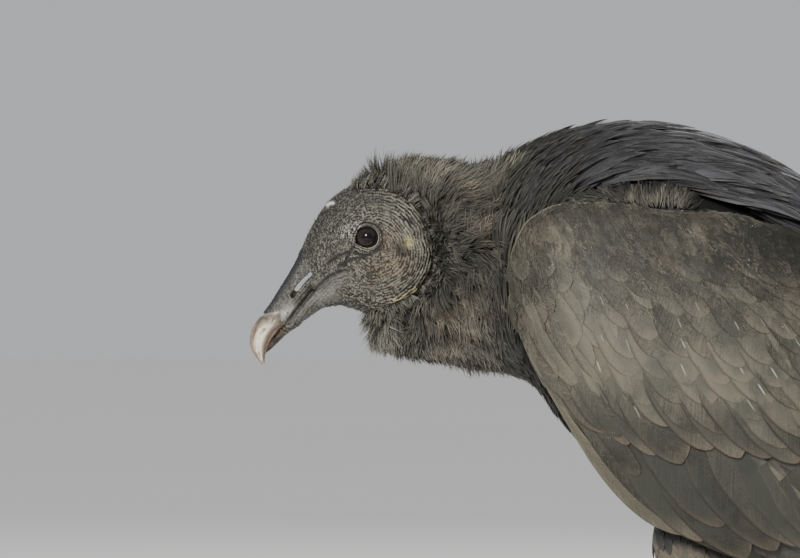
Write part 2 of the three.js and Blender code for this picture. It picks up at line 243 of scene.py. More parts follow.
def mesh_of(name, points, *faces, masks=None, patches=None):
    """A Blender mesh from arrays in millimetres, with float masks and a patch map on its points."""
    mesh = bpy.data.meshes.new(name)
    corners = np.concatenate([f.ravel() for f in faces])
    sizes = np.concatenate([np.full(len(f), f.shape[1]) for f in faces])
    starts = np.concatenate([[0], np.cumsum(sizes)[:-1]])
    mesh.vertices.add(len(points))
    mesh.loops.add(len(corners))
    mesh.polygons.add(len(sizes))
    mesh.vertices.foreach_set("co", (np.asarray(points) * MM).astype(np.float32).ravel())
    mesh.loops.foreach_set("vertex_index", corners.astype(np.int32))
    mesh.polygons.foreach_set("loop_start", starts.astype(np.int32))
    mesh.polygons.foreach_set("use_smooth", np.ones(len(sizes), bool))
    mesh.update(calc_edges=True)
    for mask_name, values in (masks or {}).items():
        layer = mesh.attributes.new(mask_name, "FLOAT", "POINT")
        layer.data.foreach_set("value", np.asarray(values, np.float32))
    if patches is not None:
        layer = mesh.uv_layers.new(name="OFBake")
        layer.uv.foreach_set("vector", np.asarray(patches, np.float32)[corners].ravel())
        mesh.set_sharp_from_angle(angle=math.radians(60))  # a vane's face stays flat up to its thin rim
    return mesh


def place(name, mesh, material, slot, replaces=()):
    """Puts a mesh in the scene as a piece of the bird."""
    piece = bpy.data.objects.new(name, mesh)
    bpy.context.scene.collection.objects.link(piece)
    mesh.materials.append(material)
    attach(piece, "root")
    if replaces:
        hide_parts(*replaces)


def arrays_of(mesh):
    """A mesh's points in millimetres, its triangles and its point normals."""
    mesh.calc_loop_triangles()
    arrays = []
    for items, field, kind in ((mesh.vertices, "co", np.float32), (mesh.loop_triangles, "vertices", np.int32),
                               (mesh.vertices, "normal", np.float32)):
        values = np.zeros(len(items) * 3, kind)
        items.foreach_get(field, values)
        arrays.append(values.reshape(-1, 3))
    points, triangles, normals = arrays
    return points / MM, triangles, normals


# ---------- distance fields ----------

class Field:
    """Distances to a surface on a box of cells: below 0 inside, in millimetres."""

    def __init__(self, low, high, cell):
        self.cell = cell
        self.low = np.floor(np.asarray(low, float) / cell).astype(int)
        self.shape = np.ceil(np.asarray(high, float) / cell).astype(int) - self.low + 1
        self.values = np.full(self.shape, 1e3, np.float32)

    def points(self):
        axes = [(np.arange(n) + low) * self.cell for n, low in zip(self.shape, self.low)]
        return np.meshgrid(*axes, indexing="ij", sparse=True)

    def distances(self, points, reach, **faces):
        """Distances from each cell to a closed mesh, true within reach of its surface."""
        grid = openvdb.FloatGrid.createLevelSetFromPolygons(
            np.ascontiguousarray(points, np.float32), transform=openvdb.createLinearTransform(self.cell),
            halfWidth=max(3.0, reach / self.cell),
            **{kind: np.ascontiguousarray(corners, np.uint32) for kind, corners in faces.items()},
        )
        out = np.full(self.shape, grid.background, np.float32)
        grid.copyToArray(out, ijk=tuple(int(n) for n in self.low))
        return out

    def to_loft(self, rings, reach):
        points, quads, fans = solid_loft(rings)
        return self.distances(points, reach, quads=quads, triangles=fans)

    def to_nodes(self, names, reach):
        """Distances to solids of the part."""
        every_point, every_triangle, total = [], [], 0
        for name in names:
            points, triangles, _ = arrays_of(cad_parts[name].data)
            every_point.append(points)
            every_triangle.append(triangles + total)
            total += len(points)
        return self.distances(np.concatenate(every_point), reach, triangles=np.concatenate(every_triangle))

    def join(self, other, blend=0.0):
        self.values = smooth_least(self.values, other, blend)

    def cut(self, other, blend=0.0):
        self.values = -smooth_least(-self.values, other, blend)

    def soften(self, passes):
        for _ in range(passes):
            for axis in range(3):
                v = np.moveaxis(self.values, axis, 0)
                v[1:-1] = (v[:-2] + 2 * v[1:-1] + v[2:]) / 4

    def surface(self):
        """The surface as points and quads."""
        grid = openvdb.FloatGrid(float(self.values.max()))
        grid.transform = openvdb.createLinearTransform(self.cell)
        grid.gridClass = openvdb.GridClass.LEVEL_SET
        grid.copyFromArray(self.values, ijk=tuple(int(n) for n in self.low))
        points, quads = grid.convertToQuads(isovalue=0.0)
        points, quads = np.array(points, float), np.array(quads, np.int64)
        return points, outward(points, quads)[0]

    def at(self, points):
        """Distance at each point."""
        q = points / self.cell - self.low
        cell = np.clip(np.floor(q).astype(int), 0, np.array(self.shape) - 2)
        f = np.clip(q - cell, 0, 1)
        shares = np.stack([1 - f, f])
        total = 0
        for a, b, c in product((0, 1), repeat=3):
            weight = shares[a][..., 0] * shares[b][..., 1] * shares[c][..., 2]
            total = total + weight * self.values[cell[..., 0] + a, cell[..., 1] + b, cell[..., 2] + c]
        return total

    def normal(self, points):
        return unit(np.stack([self.at(points + s) - self.at(points - s) for s in np.eye(3) * self.cell], -1))

    def onto(self, points):
        """Each point moved to the surface."""
        for _ in range(3):
            points = points - self.normal(points) * self.at(points)[..., None]
        return points


def smooth_least(a, b, blend):
    """The lesser of two distances, with the corner between them filled over the blend."""
    if not blend:
        return np.minimum(a, b)
    h = np.maximum(blend - np.abs(a - b), 0) / blend
    return np.minimum(a, b) - h * h * blend / 4


def ball(xyz, centre, radii):
    """About the distance to an ellipsoid, for the cells of a field."""
    radii = np.broadcast_to(np.asarray(radii, float), 3)
    x, y, z = ((c - m) / r for c, m, r in zip(xyz, centre, radii))
    return (np.sqrt(x**2 + y**2 + z**2) - 1) * radii.min()


def rod(xyz, start, end, start_radius, end_radius):
    """The distance to a round-ended rod that may taper."""
    a, b = np.asarray(start, float), np.asarray(end, float)
    d = b - a
    t = np.clip(sum((c - m) * n for c, m, n in zip(xyz, a, d)) / (d @ d), 0, 1)
    gap = np.sqrt(sum((c - (m + t * n)) ** 2 for c, m, n in zip(xyz, a, d)))
    return gap - (start_radius + (end_radius - start_radius) * t)


# ---------- materials ----------

class Value:
    """A shader socket that ordinary arithmetic works on."""

    def __init__(self, paint, socket):
        self.paint, self.socket = paint, socket

    def maths(self, operation, *inputs):
        return self.paint.node("ShaderNodeMath", {"operation": operation}, dict(enumerate(inputs)))

    def __add__(self, other):
        return self.maths("ADD", self, other)

    def __sub__(self, other):
        return self.maths("SUBTRACT", self, other)

    def __rsub__(self, other):
        return self.maths("SUBTRACT", other, self)

    def __mul__(self, other):
        return self.maths("MULTIPLY", self, other)

    def __abs__(self):
        return self.maths("ABSOLUTE", self)

    __radd__ = __add__
    __rmul__ = __mul__

    def least(self, other):
        return self.maths("MINIMUM", self, other)

    def between(self, low, high, kind="SMOOTHSTEP"):
        """0 at low, 1 at high."""
        inputs = {0: self, 1: low, 2: high, 3: 0.0, 4: 1.0}
        return self.paint.node("ShaderNodeMapRange", {"interpolation_type": kind}, inputs)


class Paint:
    """A material and the one way its nodes are made."""

    def __init__(self, name, **constants):
        self.material = bpy.data.materials.new(name)
        self.material.use_nodes = True
        self.tree = self.material.node_tree
        self.shader = self.tree.nodes["Principled BSDF"]
        for socket, value in constants.items():
            self.shader.inputs[socket.replace("_", " ")].default_value = value

    def node(self, kind, settings=None, inputs=None, output=0):
        made = self.tree.nodes.new(kind)
        for key, value in (settings or {}).items():
            setattr(made, key, value)
        for key, value in (inputs or {}).items():
            if isinstance(value, Value):
                self.tree.links.new(value.socket, made.inputs[key])
            else:
                made.inputs[key].default_value = value
        return Value(self, made.outputs[output])

    def mask(self, name):
        """A float mask of the mesh."""
        return self.node("ShaderNodeAttribute", {"attribute_name": name}, output="Fac")

    def place(self):
        """The point's own place, in metres, whatever the view."""
        return self.node("ShaderNodeTexCoord", output="Object")

    def noise(self, vector, scale, detail=2.0):
        return self.node("ShaderNodeTexNoise", {}, {"Vector": vector, "Scale": scale, "Detail": detail})

    def vector(self, x, y, z):
        return self.node("ShaderNodeCombineXYZ", {}, {0: x, 1: y, 2: z})

    def mix(self, factor, first, second):
        """A colour between two colours."""
        first, second = ((*c, 1.0) if isinstance(c, tuple) else c for c in (first, second))
        return self.node("ShaderNodeMix", {"data_type": "RGBA"}, {0: factor, 6: first, 7: second}, 2)

    def layers(self, colour, *coats):
        """A colour with others laid over it in turn, each given as (how much, colour)."""
        for factor, over in coats:
            colour = self.mix(factor, colour, over)
        return colour

    def bump(self, height, distance, strength=1.0):
        return self.node("ShaderNodeBump", {}, {"Height": height, "Distance": distance, "Strength": strength})

    def set(self, **sockets):
        """Links what changes over the surface to the shader."""
        for socket, value in sockets.items():
            self.tree.links.new(value.socket, self.shader.inputs[socket.replace("_", " ")])
        return self.material


# ---------- the head and bill ----------

# Stations, in millimetres: [upper x, upper z, lower x, lower z, half width]
HEAD = [
    [-204.1, 307.4, -191.9, 278.0, 8.8],
    [-197.2, 322.2, -183.4, 280.1, 13.2],
    [-188.7, 335.0, -175.4, 278.4, 17.0],
    [-178.1, 342.9, -166.4, 275.8, 20.0],
    [-165.4, 346.4, -156.3, 276.1, 22.0],
    [-151.6, 343.5, -147.9, 279.3, 22.5],
    [-141.0, 335.0, -139.9, 286.2, 20.0],
    [-134.6, 324.0, -134.1, 295.2, 14.0],
    [-131.7, 313.2, -131.7, 305.8, 5.0],
]
UPPER_BILL = [
    [-204.1, 307.1, -192.1, 292.8, 8.6],
    [-208.8, 298.4, -199.3, 284.8, 7.4],
    [-214.7, 288.9, -204.8, 277.9, 6.2],
    [-220.5, 279.8, -209.1, 271.8, 5.3],
    [-226.0, 272.9, -213.1, 267.9, 4.8],
    [-229.5, 265.5, -217.3, 261.8, 4.2],
    [-229.0, 258.1, -220.5, 256.3, 3.0],
    [-225.8, 252.3, -221.8, 252.0, 1.6],
    [-223.7, 249.6, -222.1, 249.6, 0.7],
]
LOWER_BILL = [
    [-184.0, 299.2, -184.0, 280.0, 10.0],
    [-191.0, 294.6, -189.7, 278.9, 9.2],
    [-197.3, 288.2, -195.0, 275.8, 8.0],
    [-203.4, 280.4, -200.5, 272.0, 6.7],
    [-207.5, 274.8, -205.7, 268.3, 5.5],
    [-210.8, 270.6, -210.8, 264.6, 4.4],
    [-214.8, 266.6, -215.2, 260.4, 3.3],
    [-217.6, 263.4, -218.8, 257.0, 2.5],
    [-220.2, 260.2, -221.4, 255.0, 1.4],
]
# The horny hook, from its slanting edge on the skin to its tip
HOOK = [
    [-223.3, 275.2, -208.2, 279.6, 5.4],
    [-225.6, 273.0, -208.6, 274.7, 5.6],
    [-227.7, 270.0, -209.6, 270.6, 5.35],
    [-229.3, 266.6, -213.3, 267.6, 4.9],
    [-230.2, 261.6, -216.8, 263.6, 4.2],
    [-229.3, 256.8, -219.7, 259.2, 3.1],
    [-227.3, 253.1, -221.1, 255.8, 2.0],
    [-225.0, 250.5, -222.1, 252.9, 1.25],
    [-223.3, 248.6, -222.3, 249.8, 0.55],
]
EYE_UV = np.array([367.5, 236.5])
RING_CENTRE = np.array([374.0, 249.0])  # the folds of the rear of the head run round this place
MOUTH = [[289, 323], [294.7, 313], [305.5, 299.8], [317.9, 285.7], [329.5, 274.9], [343.6, 269.5], [353, 269]]
NOSTRIL = [[293, 295.5], [299.5, 285.5], [311, 273.5]]
HEAD_CELL = 0.45


def lid_radius(angle):
    """How far the edge of the lids is from the eye's middle, in drawing units: round, with a corner
    towards the bill and a little down, and a flatter upper lid in front."""
    def near(degrees, width):
        return hill((angle - math.radians(degrees) + math.pi) % (2 * math.pi) - math.pi, 0, width)

    return 10.8 + 3.0 * near(206, 0.22) - 1.2 * near(152, 0.5) - 0.9 * near(265, 0.7)


def head_field():
    field = Field([-234, -27, 258], [-128, 27, 351], HEAD_CELL)
    x, y, z = field.points()
    side = np.abs(y)
    mirror = (x, side, z)
    for rings, blend in (
        (oval_rings(HEAD, 96, 70, 0.16, 0.92), 0),
        (oval_rings([[-200, 312, -186, 291, 9.5], *UPPER_BILL], 64, 80, 0.3, span=(0, 0.5)), 1.6),
        (oval_rings([[-178, 299, -178, 282, 9.4], *LOWER_BILL], 48, 60, -0.2, span=(0, 0.764)), 0.7),
    ):
        field.join(field.to_loft(rings, 5.0), blend)
    for change, (u, v, depth), radii, blend in (
        (field.join, (362, 216, 12.0), [10, 7, 5], 5.0),  # brow
        (field.join, (396, 262, 13.5), [14, 8.6, 13], 5.0),  # cheek
        (field.join, (345, 262, 9.0), [9, 6.5, 5], 5.0),  # fold in front of the gape
        (field.cut, (340, 238, 23.5), [9, 6.5, 7], 4.0),  # between the eye and the bill
        (field.cut, (368, 237, 27.0), [11.5, 8.8, 10.5], 3.0),  # orbit
        (field.cut, (409, 241, 23.6), [2.4, 2.6, 2.8], 1.5),  # ear
    ):
        middle_x, middle_z = from_drawing([u, v])
        change(ball(mirror, [middle_x, depth, middle_z], radii), blend)
    # The lids: a thin roll round the opening, lying on the eyeball.
    angle = np.linspace(0, 2 * math.pi, 48, endpoint=False)
    lids = lid_radius(angle)[:, None] * UNIT * np.stack([np.cos(angle), np.sin(angle)], 1)
    depth = np.sqrt(np.maximum(EYE_RADIUS**2 - (lids**2).sum(1), 2.0))
    rim = np.stack([EYE[0] + lids[:, 0], EYE[1] + depth + 0.2, EYE[2] + lids[:, 1]], 1)
    for a, b in zip(rim, np.roll(rim, -1, 0)):
        along_x, along_z = (slice(*np.searchsorted(np.ravel(c), [min(p, q) - 2.5, max(p, q) + 2.5]))
                            for c, p, q in zip((x, z), a[[0, 2]], b[[0, 2]]))
        part = (along_x, slice(None), along_z)
        roll = rod((x[along_x], side, z[:, :, along_z]), a, b, 0.5, 0.5)
        field.values[part] = smooth_least(field.values[part], roll, 0.5)
    opening = np.hypot(x - EYE[0], z - EYE[2])
    edge = lid_radius(np.arctan2(z - EYE[2], x - EYE[0])) * UNIT
    field.cut(np.maximum(opening - edge + 0.4, 14.0 - side), 0.6)  # clears what is left over the eyeball
    field.cut(ball(mirror, EYE, EYE_RADIUS + 0.12), 0.25)
    # The nostrils run right through the bill, with a wall between the two sides in front.
    slot = from_drawing(smooth_line(NOSTRIL, 7))
    for number, (a, b) in enumerate(zip(slot, slot[1:])):
        gap = rod((x, np.zeros_like(y), z), [a[0], 0, a[1]], [b[0], 0, b[1]], 1.15, 1.15)
        field.cut(np.maximum(gap, 2.4 - side) if number < 2 else gap, 0.5)
    return field


def head_folds(points):
    """Height of the skin's folds at points of the head, and what they were worked out from."""
    uv = to_drawing(points)
    flat3 = np.concatenate([uv, np.abs(points[..., 1:2]) / UNIT * 0.35], -1)
    rel = uv - RING_CENTRE
    r = np.hypot(rel[..., 0], rel[..., 1])
    turn = np.arctan2(-rel[..., 1], rel[..., 0])
    rear = ease(-0.5, 0.5, np.cos(turn - 0.1)) * ease(10, 25, r)
    warp = noise(flat3, 15, 3) * 1.7 + noise(flat3, 5.5, 4) * (0.75 + 1.9 * (1 - rear))
    rings = np.sin(2 * math.pi * (r + warp) / 2.85)
    dashes = noise(np.stack([(r + warp) / 1.5, turn * r / 4.2, flat3[..., 2] / 4], -1), 1.0, 6)
    beads = noise(flat3, 1.8, 7) + 0.9 * noise(flat3, 1.3, 5)
    behind = 0.54 * rings + 0.78 * dashes + 0.5 * beads
    before = 0.32 * rings + 0.5 * dashes + 0.62 * beads
    folds = (rear * behind + (1 - rear) * before) * (0.85 + 0.5 * noise(flat3, 9, 8))
    eye = uv - EYE_UV
    angle = np.arctan2(-eye[..., 1], eye[..., 0])
    from_lid = np.hypot(eye[..., 0], eye[..., 1]) - lid_radius(angle)
    lid_rings = np.sin(2 * math.pi * (from_lid - 1.7 + 0.5 * noise(flat3, 6, 12)) / 3.2)
    near_eye = ease(11, 4, from_lid)
    folds = folds * (1 - near_eye) + near_eye * (lid_rings * 0.6 + 0.4 * beads)
    return folds, uv, flat3, from_lid, angle, rear * (1 - near_eye)


GAPE_CREASE = [[342, 267], [346, 261.5], [352, 258], [359, 256.6], [367, 256.4]]
CREASES = (  # line of the drawing, width, depth
    ([[350, 250.8], [355, 251.5], [360, 253.2], [365.5, 254], [371, 252.4], [377, 248.5], [381.5, 243],
      [383.5, 237]], 1.6, 0.95),  # under the eye
    ([[359, 224], [366, 221.8], [373, 222.2], [379, 225.5], [382.5, 231], [383.8, 237]], 1.4, 0.5),  # brow
    (GAPE_CREASE, 1.5, 0.75),
    ([[351, 250.3], [343, 253], [337, 256], [331, 260], [326, 265]], 1.5, 0.8),  # before the eye
    ([[352, 268], [345, 264], [337, 266]], 1.3, 0.5),  # cheek
    ([[300, 324.5], [312, 315.5], [326, 307.5], [336, 303.5], [350, 304]], 1.5, 0.55),  # jaw
    ([[355.5, 242.5], [352.5, 247], [350, 251], [348, 256], [344.5, 261], [340, 265.5]], 1.4, 0.8),  # tear
)
HEAD_MARKS = {  # line of the drawing, and the width that the mark fades over
    "flange": ([[296, 316], [306, 303], [318, 291], [330, 282], [344, 276.5]], 7.0),
    "jaw": ([[299, 328], [314, 319], [328, 310.5], [342, 305], [356, 307], [368, 311]], 6.5),
    "throat": ([[392, 301], [400, 297], [409, 292], [416, 287.5]], 1.9),
    "culmen": ([[262, 312], [272, 301], [281.5, 286], [289.5, 273.5], [295.8, 262.5], [299.5, 252]], 5.0),
    # painted highlight on the brow before the eye
    "pale": ([[345, 232], [352, 227], [359, 223.5]], 5.0),
    "ear": ([[408, 238], [409.5, 243]], 3.4),
    "ear_shade": ([[399, 247], [402, 251]], 6.5),
    "brown": ([[388, 240], [398, 252], [402, 262], [388, 264], [378, 268]], 13.0),
    "crown": ([[303, 244], [314, 222], [324, 205], [337, 190], [352, 182], [372, 184]], 27.0),
    "patch": ([[320, 297], [330, 291], [339, 286]], 6.5),
    "fleck": ([[327.5, 204.8], [329.5, 203.2], [333, 202.6]], 1.5),
    "cap": ([[282, 317], [286.5, 311.5], [291.5, 307]], 4.2),
    "ridge": ([[305, 262], [299, 271], [294, 279]], 2.6),
    "mouth": (MOUTH, 1.15),
}


def dress_head(points, normals):
    """Moves the head's points out and in for its folds, and gives the masks for its colours."""
    folds, uv, flat3, from_lid, angle, ringed = head_folds(points)
    marks = {name: band(line, uv, width) for name, (line, width) in HEAD_MARKS.items()}
    billward = (uv - np.array([306.0, 262.0])) @ np.array([-0.66, 0.75])
    cere = ease(-4.0, 7.0, billward + 2 * noise(flat3, 8, 11))
    smooth_skin = np.clip(marks["flange"] * 1.15 + cere * 0.72 - 0.8 * marks["jaw"], 0, 1)
    from_mouth, mouth_share = along_line(MOUTH, uv)
    ripples = np.sin(2 * math.pi * from_mouth / 3.3 + 2.2 * noise(flat3, 7, 13)) * ease(1.0, 3.5, from_mouth)
    ripples = ripples * ease(19, 10, from_mouth) * (0.6 + 0.7 * noise(flat3, 6, 14))
    folds = folds * (1 - 0.8 * smooth_skin) + (0.55 * ripples + 0.3 * noise(flat3, 2.2, 15)) * smooth_skin
    height = 0.34 * folds * (1 - 0.4 * smooth_skin) * ease(0.2, 2.6, from_lid)
    height = height + 0.5 * marks["flange"] * ease(296, 306, uv[..., 0])
    height = height - 1.15 * marks["mouth"] * ease(1.0, 0.9, mouth_share)
    creases = 0
    for line, width, depth in CREASES:
        gap, share = along_line(line, uv)
        crease = depth * hill(gap, 0, width) * ease(0, 0.12, share) * ease(1, 0.88, share)
        creases = creases + crease
        height = height - crease
    beside = band(np.array(GAPE_CREASE) + [1.5, 3.2], uv, 2.0)
    height = height + 0.35 * beside + 0.6 * marks["throat"]
    rearward = ease(-0.6, 0.3, np.cos(angle + 0.6))
    lid_line = 0.75 * hill(from_lid, 1.7, 0.75) * rearward + (1 - rearward) * hill(from_lid, 0.2, 1.0)
    cap = np.clip(marks["cap"] * (0.36 + 0.5 * noise(flat3, 2.5, 16)), 0, 1)
    masks = {name: marks[name] for name in ("jaw", "throat", "ear", "brown", "crown", "patch", "mouth")} | {
        "crest": np.clip(0.5 + 0.5 * folds, 0, 1),
        "smooth_skin": smooth_skin,
        "ringed": ringed,
        "culmen": marks["culmen"] * ease(-8, 2, billward),
        # painted highlight on the brow, joined with the pale ridge line before the nostril
        "pale": np.maximum(marks["pale"], marks["ridge"]),
        # painted shade: dark in the creases, round the ear_shade patch and along the edge of the lids
        "crease": np.clip(creases * 1.5 + 0.85 * marks["ear_shade"] + lid_line, 0, 1),
        "rim": hill(from_lid, 0.3, 0.5) * (0.1 + 0.9 * rearward),
        "fleck": np.maximum(marks["fleck"] * (points[..., 1] < 0), cap),
    }
    return points + normals * height[:, None], masks


def skin_paint():
    p = Paint("bare_skin", Specular_IOR_Level=0.42)
    place = p.place()
    coarse, fine, grain = p.noise(place, 90, 3), p.noise(place, 900, 3), p.noise(place, 1300, 1)
    crest, smooth, ringed, culmen = (p.mask(name) for name in ("crest", "smooth_skin", "ringed", "culmen"))
    # the crests of the folds are pale and the grooves dark: partly the skin's own dusty colour, partly
    # painted light and shade of the folds
    lift = crest * (0.72 + ringed * 0.16) + (grain - 0.5) * (1.45 - ringed * 0.5) + fine * 0.3 - 0.045
    lift = lift.between(0.26, 0.84)
    folded = (crest * 0.7 + coarse * 0.5 + grain * 0.5 - 0.35).between(0.2, 0.85)
    smooth_colour = p.layers(
        p.mix(folded, (0.020, 0.0195, 0.016), (0.160, 0.156, 0.134)),
        (p.mask("patch") * (0.25 + folded * 0.5), (0.27, 0.265, 0.24)),
        (fine.between(0.45, 0.65) * 0.45, (0.045, 0.043, 0.038)),
    )
    under = p.layers(
        p.mix(coarse.between(0.3, 0.7), (0.017, 0.0165, 0.014), (0.045, 0.043, 0.037)),
        (p.mask("beige") * 0.4, (0.08, 0.06, 0.045)),
        # painted shade: near black in the gap under the mantle's free edge
        (p.mask("gap_shade"), (0.003, 0.003, 0.003)),
    )
    cells = p.node("ShaderNodeTexVoronoi", {"feature": "DISTANCE_TO_EDGE"}, {"Vector": place, "Scale": 420.0})
    plate = cells.between(0.0, 0.16)
    shank = p.layers(
        p.mix(plate * 0.75 + fine * 0.25, (0.055, 0.048, 0.040), (0.33, 0.31, 0.27)),
        (coarse.between(0.45, 0.7) * 0.5, (0.13, 0.12, 0.105)),
    )
    colour = p.layers(
        p.mix(lift, (0.008, 0.007, 0.0055), (0.222, 0.212, 0.168)),
        (coarse.between(0.35, 0.7) * 0.4, (0.05, 0.048, 0.04)),
        (p.mask("brown") * 0.7, p.mix(lift, (0.020, 0.011, 0.006), (0.175, 0.125, 0.080))),
        (p.mask("crown") * (0.9 - lift * 0.42), (0.012, 0.0115, 0.010)),
        # painted highlight: the brow's crests made pale, with the pale ridge line
        (p.mask("pale") * 0.7 * lift, (0.46, 0.45, 0.42)),
        (smooth * 0.9, smooth_colour),
        (p.mask("jaw") * (1 - lift) * 0.6, (0.008, 0.008, 0.007)),
        # painted shade in the creases and along the lids
        (p.mask("crease") * 0.92, (0.009, 0.008, 0.007)),
        (culmen * (0.8 + fine * 0.2), (0.009, 0.0095, 0.016)),
        (p.mask("rim") * 0.85, (0.36, 0.35, 0.32)),
        (p.mask("ear") * (0.5 + lift * 0.5), (0.38, 0.335, 0.155)),
        (p.mask("fleck"), (0.70, 0.68, 0.62)),
        (p.mask("throat") * lift, (0.50, 0.40, 0.22)),
        (p.mask("mouth") * 0.75, (0.010, 0.009, 0.008)),
        (1 - p.mask("head"), under),
        (p.mask("leg"), shank),
    )
    height = crest * 0.5 + fine * 0.4 + grain * 0.5 + plate * p.mask("leg") * 1.5
    return p.set(Base_Color=colour, Roughness=0.60 - 0.18 * smooth + 0.1 * culmen + fine * 0.12,
                 Normal=p.bump(height, 0.0003, 0.8))


# ---------- eyes ----------

def eye_piece(name, side):
    """An eyeball with a slightly raised clear front, facing out from its side of the head."""
    angle = np.linspace(0.02, math.pi - 0.02, 40)[:, None]
    bulge = EYE_RADIUS + 0.28 * hill(angle, 0, 0.55)
    turn = np.arange(64) / 64 * 2 * math.pi
    out = bulge * np.sin(angle)
    rings = np.stack(np.broadcast_arrays(out * np.cos(turn), bulge * np.cos(angle), out * np.sin(turn)), -1)
    points, quads, fans = solid_loft(rings)
    points = points * [1, side, 1] + EYE * [1, side, 1]
    off_axis = np.hypot(points[:, 0] - EYE[0], points[:, 2] - EYE[2])
    off_axis = np.where((points[:, 1] - side * EYE[1]) * side < 0, EYE_RADIUS, off_axis)
    mesh = mesh_of(name, points, *outward(points, quads, fans), masks={"off_axis": off_axis})
    place(name, mesh, EYE_PAINT, "eye", (name,))


def eye_paint():
    p = Paint("eye", Roughness=0.03, IOR=1.36)
    off_axis = p.mask("off_axis")
    iris = p.mix(p.noise(p.place(), 1400, 3).between(0.3, 0.7), (0.006, 0.004, 0.004), (0.026, 0.017, 0.015))
    pupil, rim = off_axis.between(2.9, 2.6), off_axis.between(5.2, 5.7)
    return p.set(Base_Color=p.layers(iris, (pupil, (0.002, 0.002, 0.002)), (rim, (0.010, 0.007, 0.006))))


# ---------- horn of the bill ----------

def horn_piece(node, rows, span, taper, sides, count, shape):
    rings = oval_rings(rows, sides, count, taper, span=span)
    t, angle = np.broadcast_arrays(np.linspace(0, 1, count)[:, None], round_angles(sides))
    points, quads, fans = solid_loft(shape(rings, t, angle))
    masks = {"t": np.append(t, [0, 1]), "top": np.append(np.cos(angle), [0, 0]),
             "lower": np.full(len(points), float(node == "lower_bill"))}
    place(node, mesh_of(node, points, quads, fans, masks=masks), HORN_PAINT, "horn", (node,))


def hook_shape(rings, t, angle):
    """The hook stands a little proud of the skin, has fine growth lines and a worn tip."""
    centre = rings.mean(1, keepdims=True)
    proud = 1 - 0.07 * ease(0.06, 0.0, t)
    growth = 1 + 0.005 * np.sin(t * 60 + noise(np.stack([t * 9, angle], -1), 0.6, 21) * 2)
    worn = 1 + 0.30 * noise(np.stack([t * 34, angle * 2.5], -1), 0.8, 22) * ease(0.8, 1.0, t)
    return centre + (rings - centre) * (proud * growth * worn)[..., None]


def tip_shape(rings, t, _):
    """The lower bill's tip starts a little inside the skin."""
    centre = rings.mean(1, keepdims=True)
    return centre + (rings - centre) * (1 - 0.1 * ease(0.1, 0.0, t))[..., None]


def horn_paint():
    p = Paint("horn", Specular_IOR_Level=0.6)
    t, top, lower = p.mask("t"), p.mask("top"), p.mask("lower")
    place = p.place()
    grain, smudge = p.noise(place, 500, 4), p.noise(place, 230, 4)
    streaks = p.noise(p.vector(t * 0.9, top * 1.7, grain * 0.25), 4.5, 4)
    # painted highlight: a pale cream band along the middle of the hook's side
    light = (1 - abs(top - 0.2).between(0.10, 0.66)) * t.between(0.12, 0.30) * t.between(0.99, 0.8)
    behind = top.between(0.0, -0.45)
    base = t.between(0.42, 0.08) * (smudge + streaks * 0.6).between(0.63, 0.86)
    dull = p.mix(smudge.between(0.35, 0.65), (0.010, 0.008, 0.006), (0.062, 0.034, 0.018))
    colour = p.layers(
        p.mix(streaks.between(0.42, 0.60), (0.105, 0.075, 0.056), (0.42, 0.34, 0.25)),
        # painted highlight on the hook
        (light * (streaks * 0.6 + smudge * 0.5).between(0.34, 0.62), (0.86, 0.78, 0.63)),
        (top.between(0.5, 0.95) * (0.35 + smudge * 0.8), (0.21, 0.145, 0.105)),
        (behind * (0.5 + smudge * 0.8), (0.115, 0.078, 0.054)),
        (behind * streaks.between(0.5, 0.62) * 0.6, (0.30, 0.255, 0.205)),
        (base * 0.75, (0.045, 0.038, 0.038)),
        (t.between(0.10, 0.02) * (0.4 + grain) * 0.6, (0.36, 0.33, 0.29)),
        (t.between(0.80, 1.0) * (0.35 + smudge * 0.6), (0.34, 0.29, 0.19)),
        (lower, dull),
    )
    return p.set(Base_Color=colour, Roughness=0.16 + grain * 0.24 + lower * 0.25,
                 Normal=p.bump(grain + streaks, 0.0004, 0.6))


# ---------- feathers: shapes ----------

# Cross-sections of a vane, as places from edge to edge (-1 to 1) and whether on its underside.
BLADE = ([-1, 0, 1], [0, 0, 0])
SMALL = ([-1, 0, 1, 0], [0, 0, 0, 1])
PLAIN = ([-1, -0.5, 0, 0.5, 1, 0], [0, 0, 0, 0, 0, 1])
BROAD = ([-1, -0.75, -0.45, -0.12, 0, 0.12, 0.45, 0.75, 1, 0.5, 0, -0.5], [0] * 9 + [1] * 3)


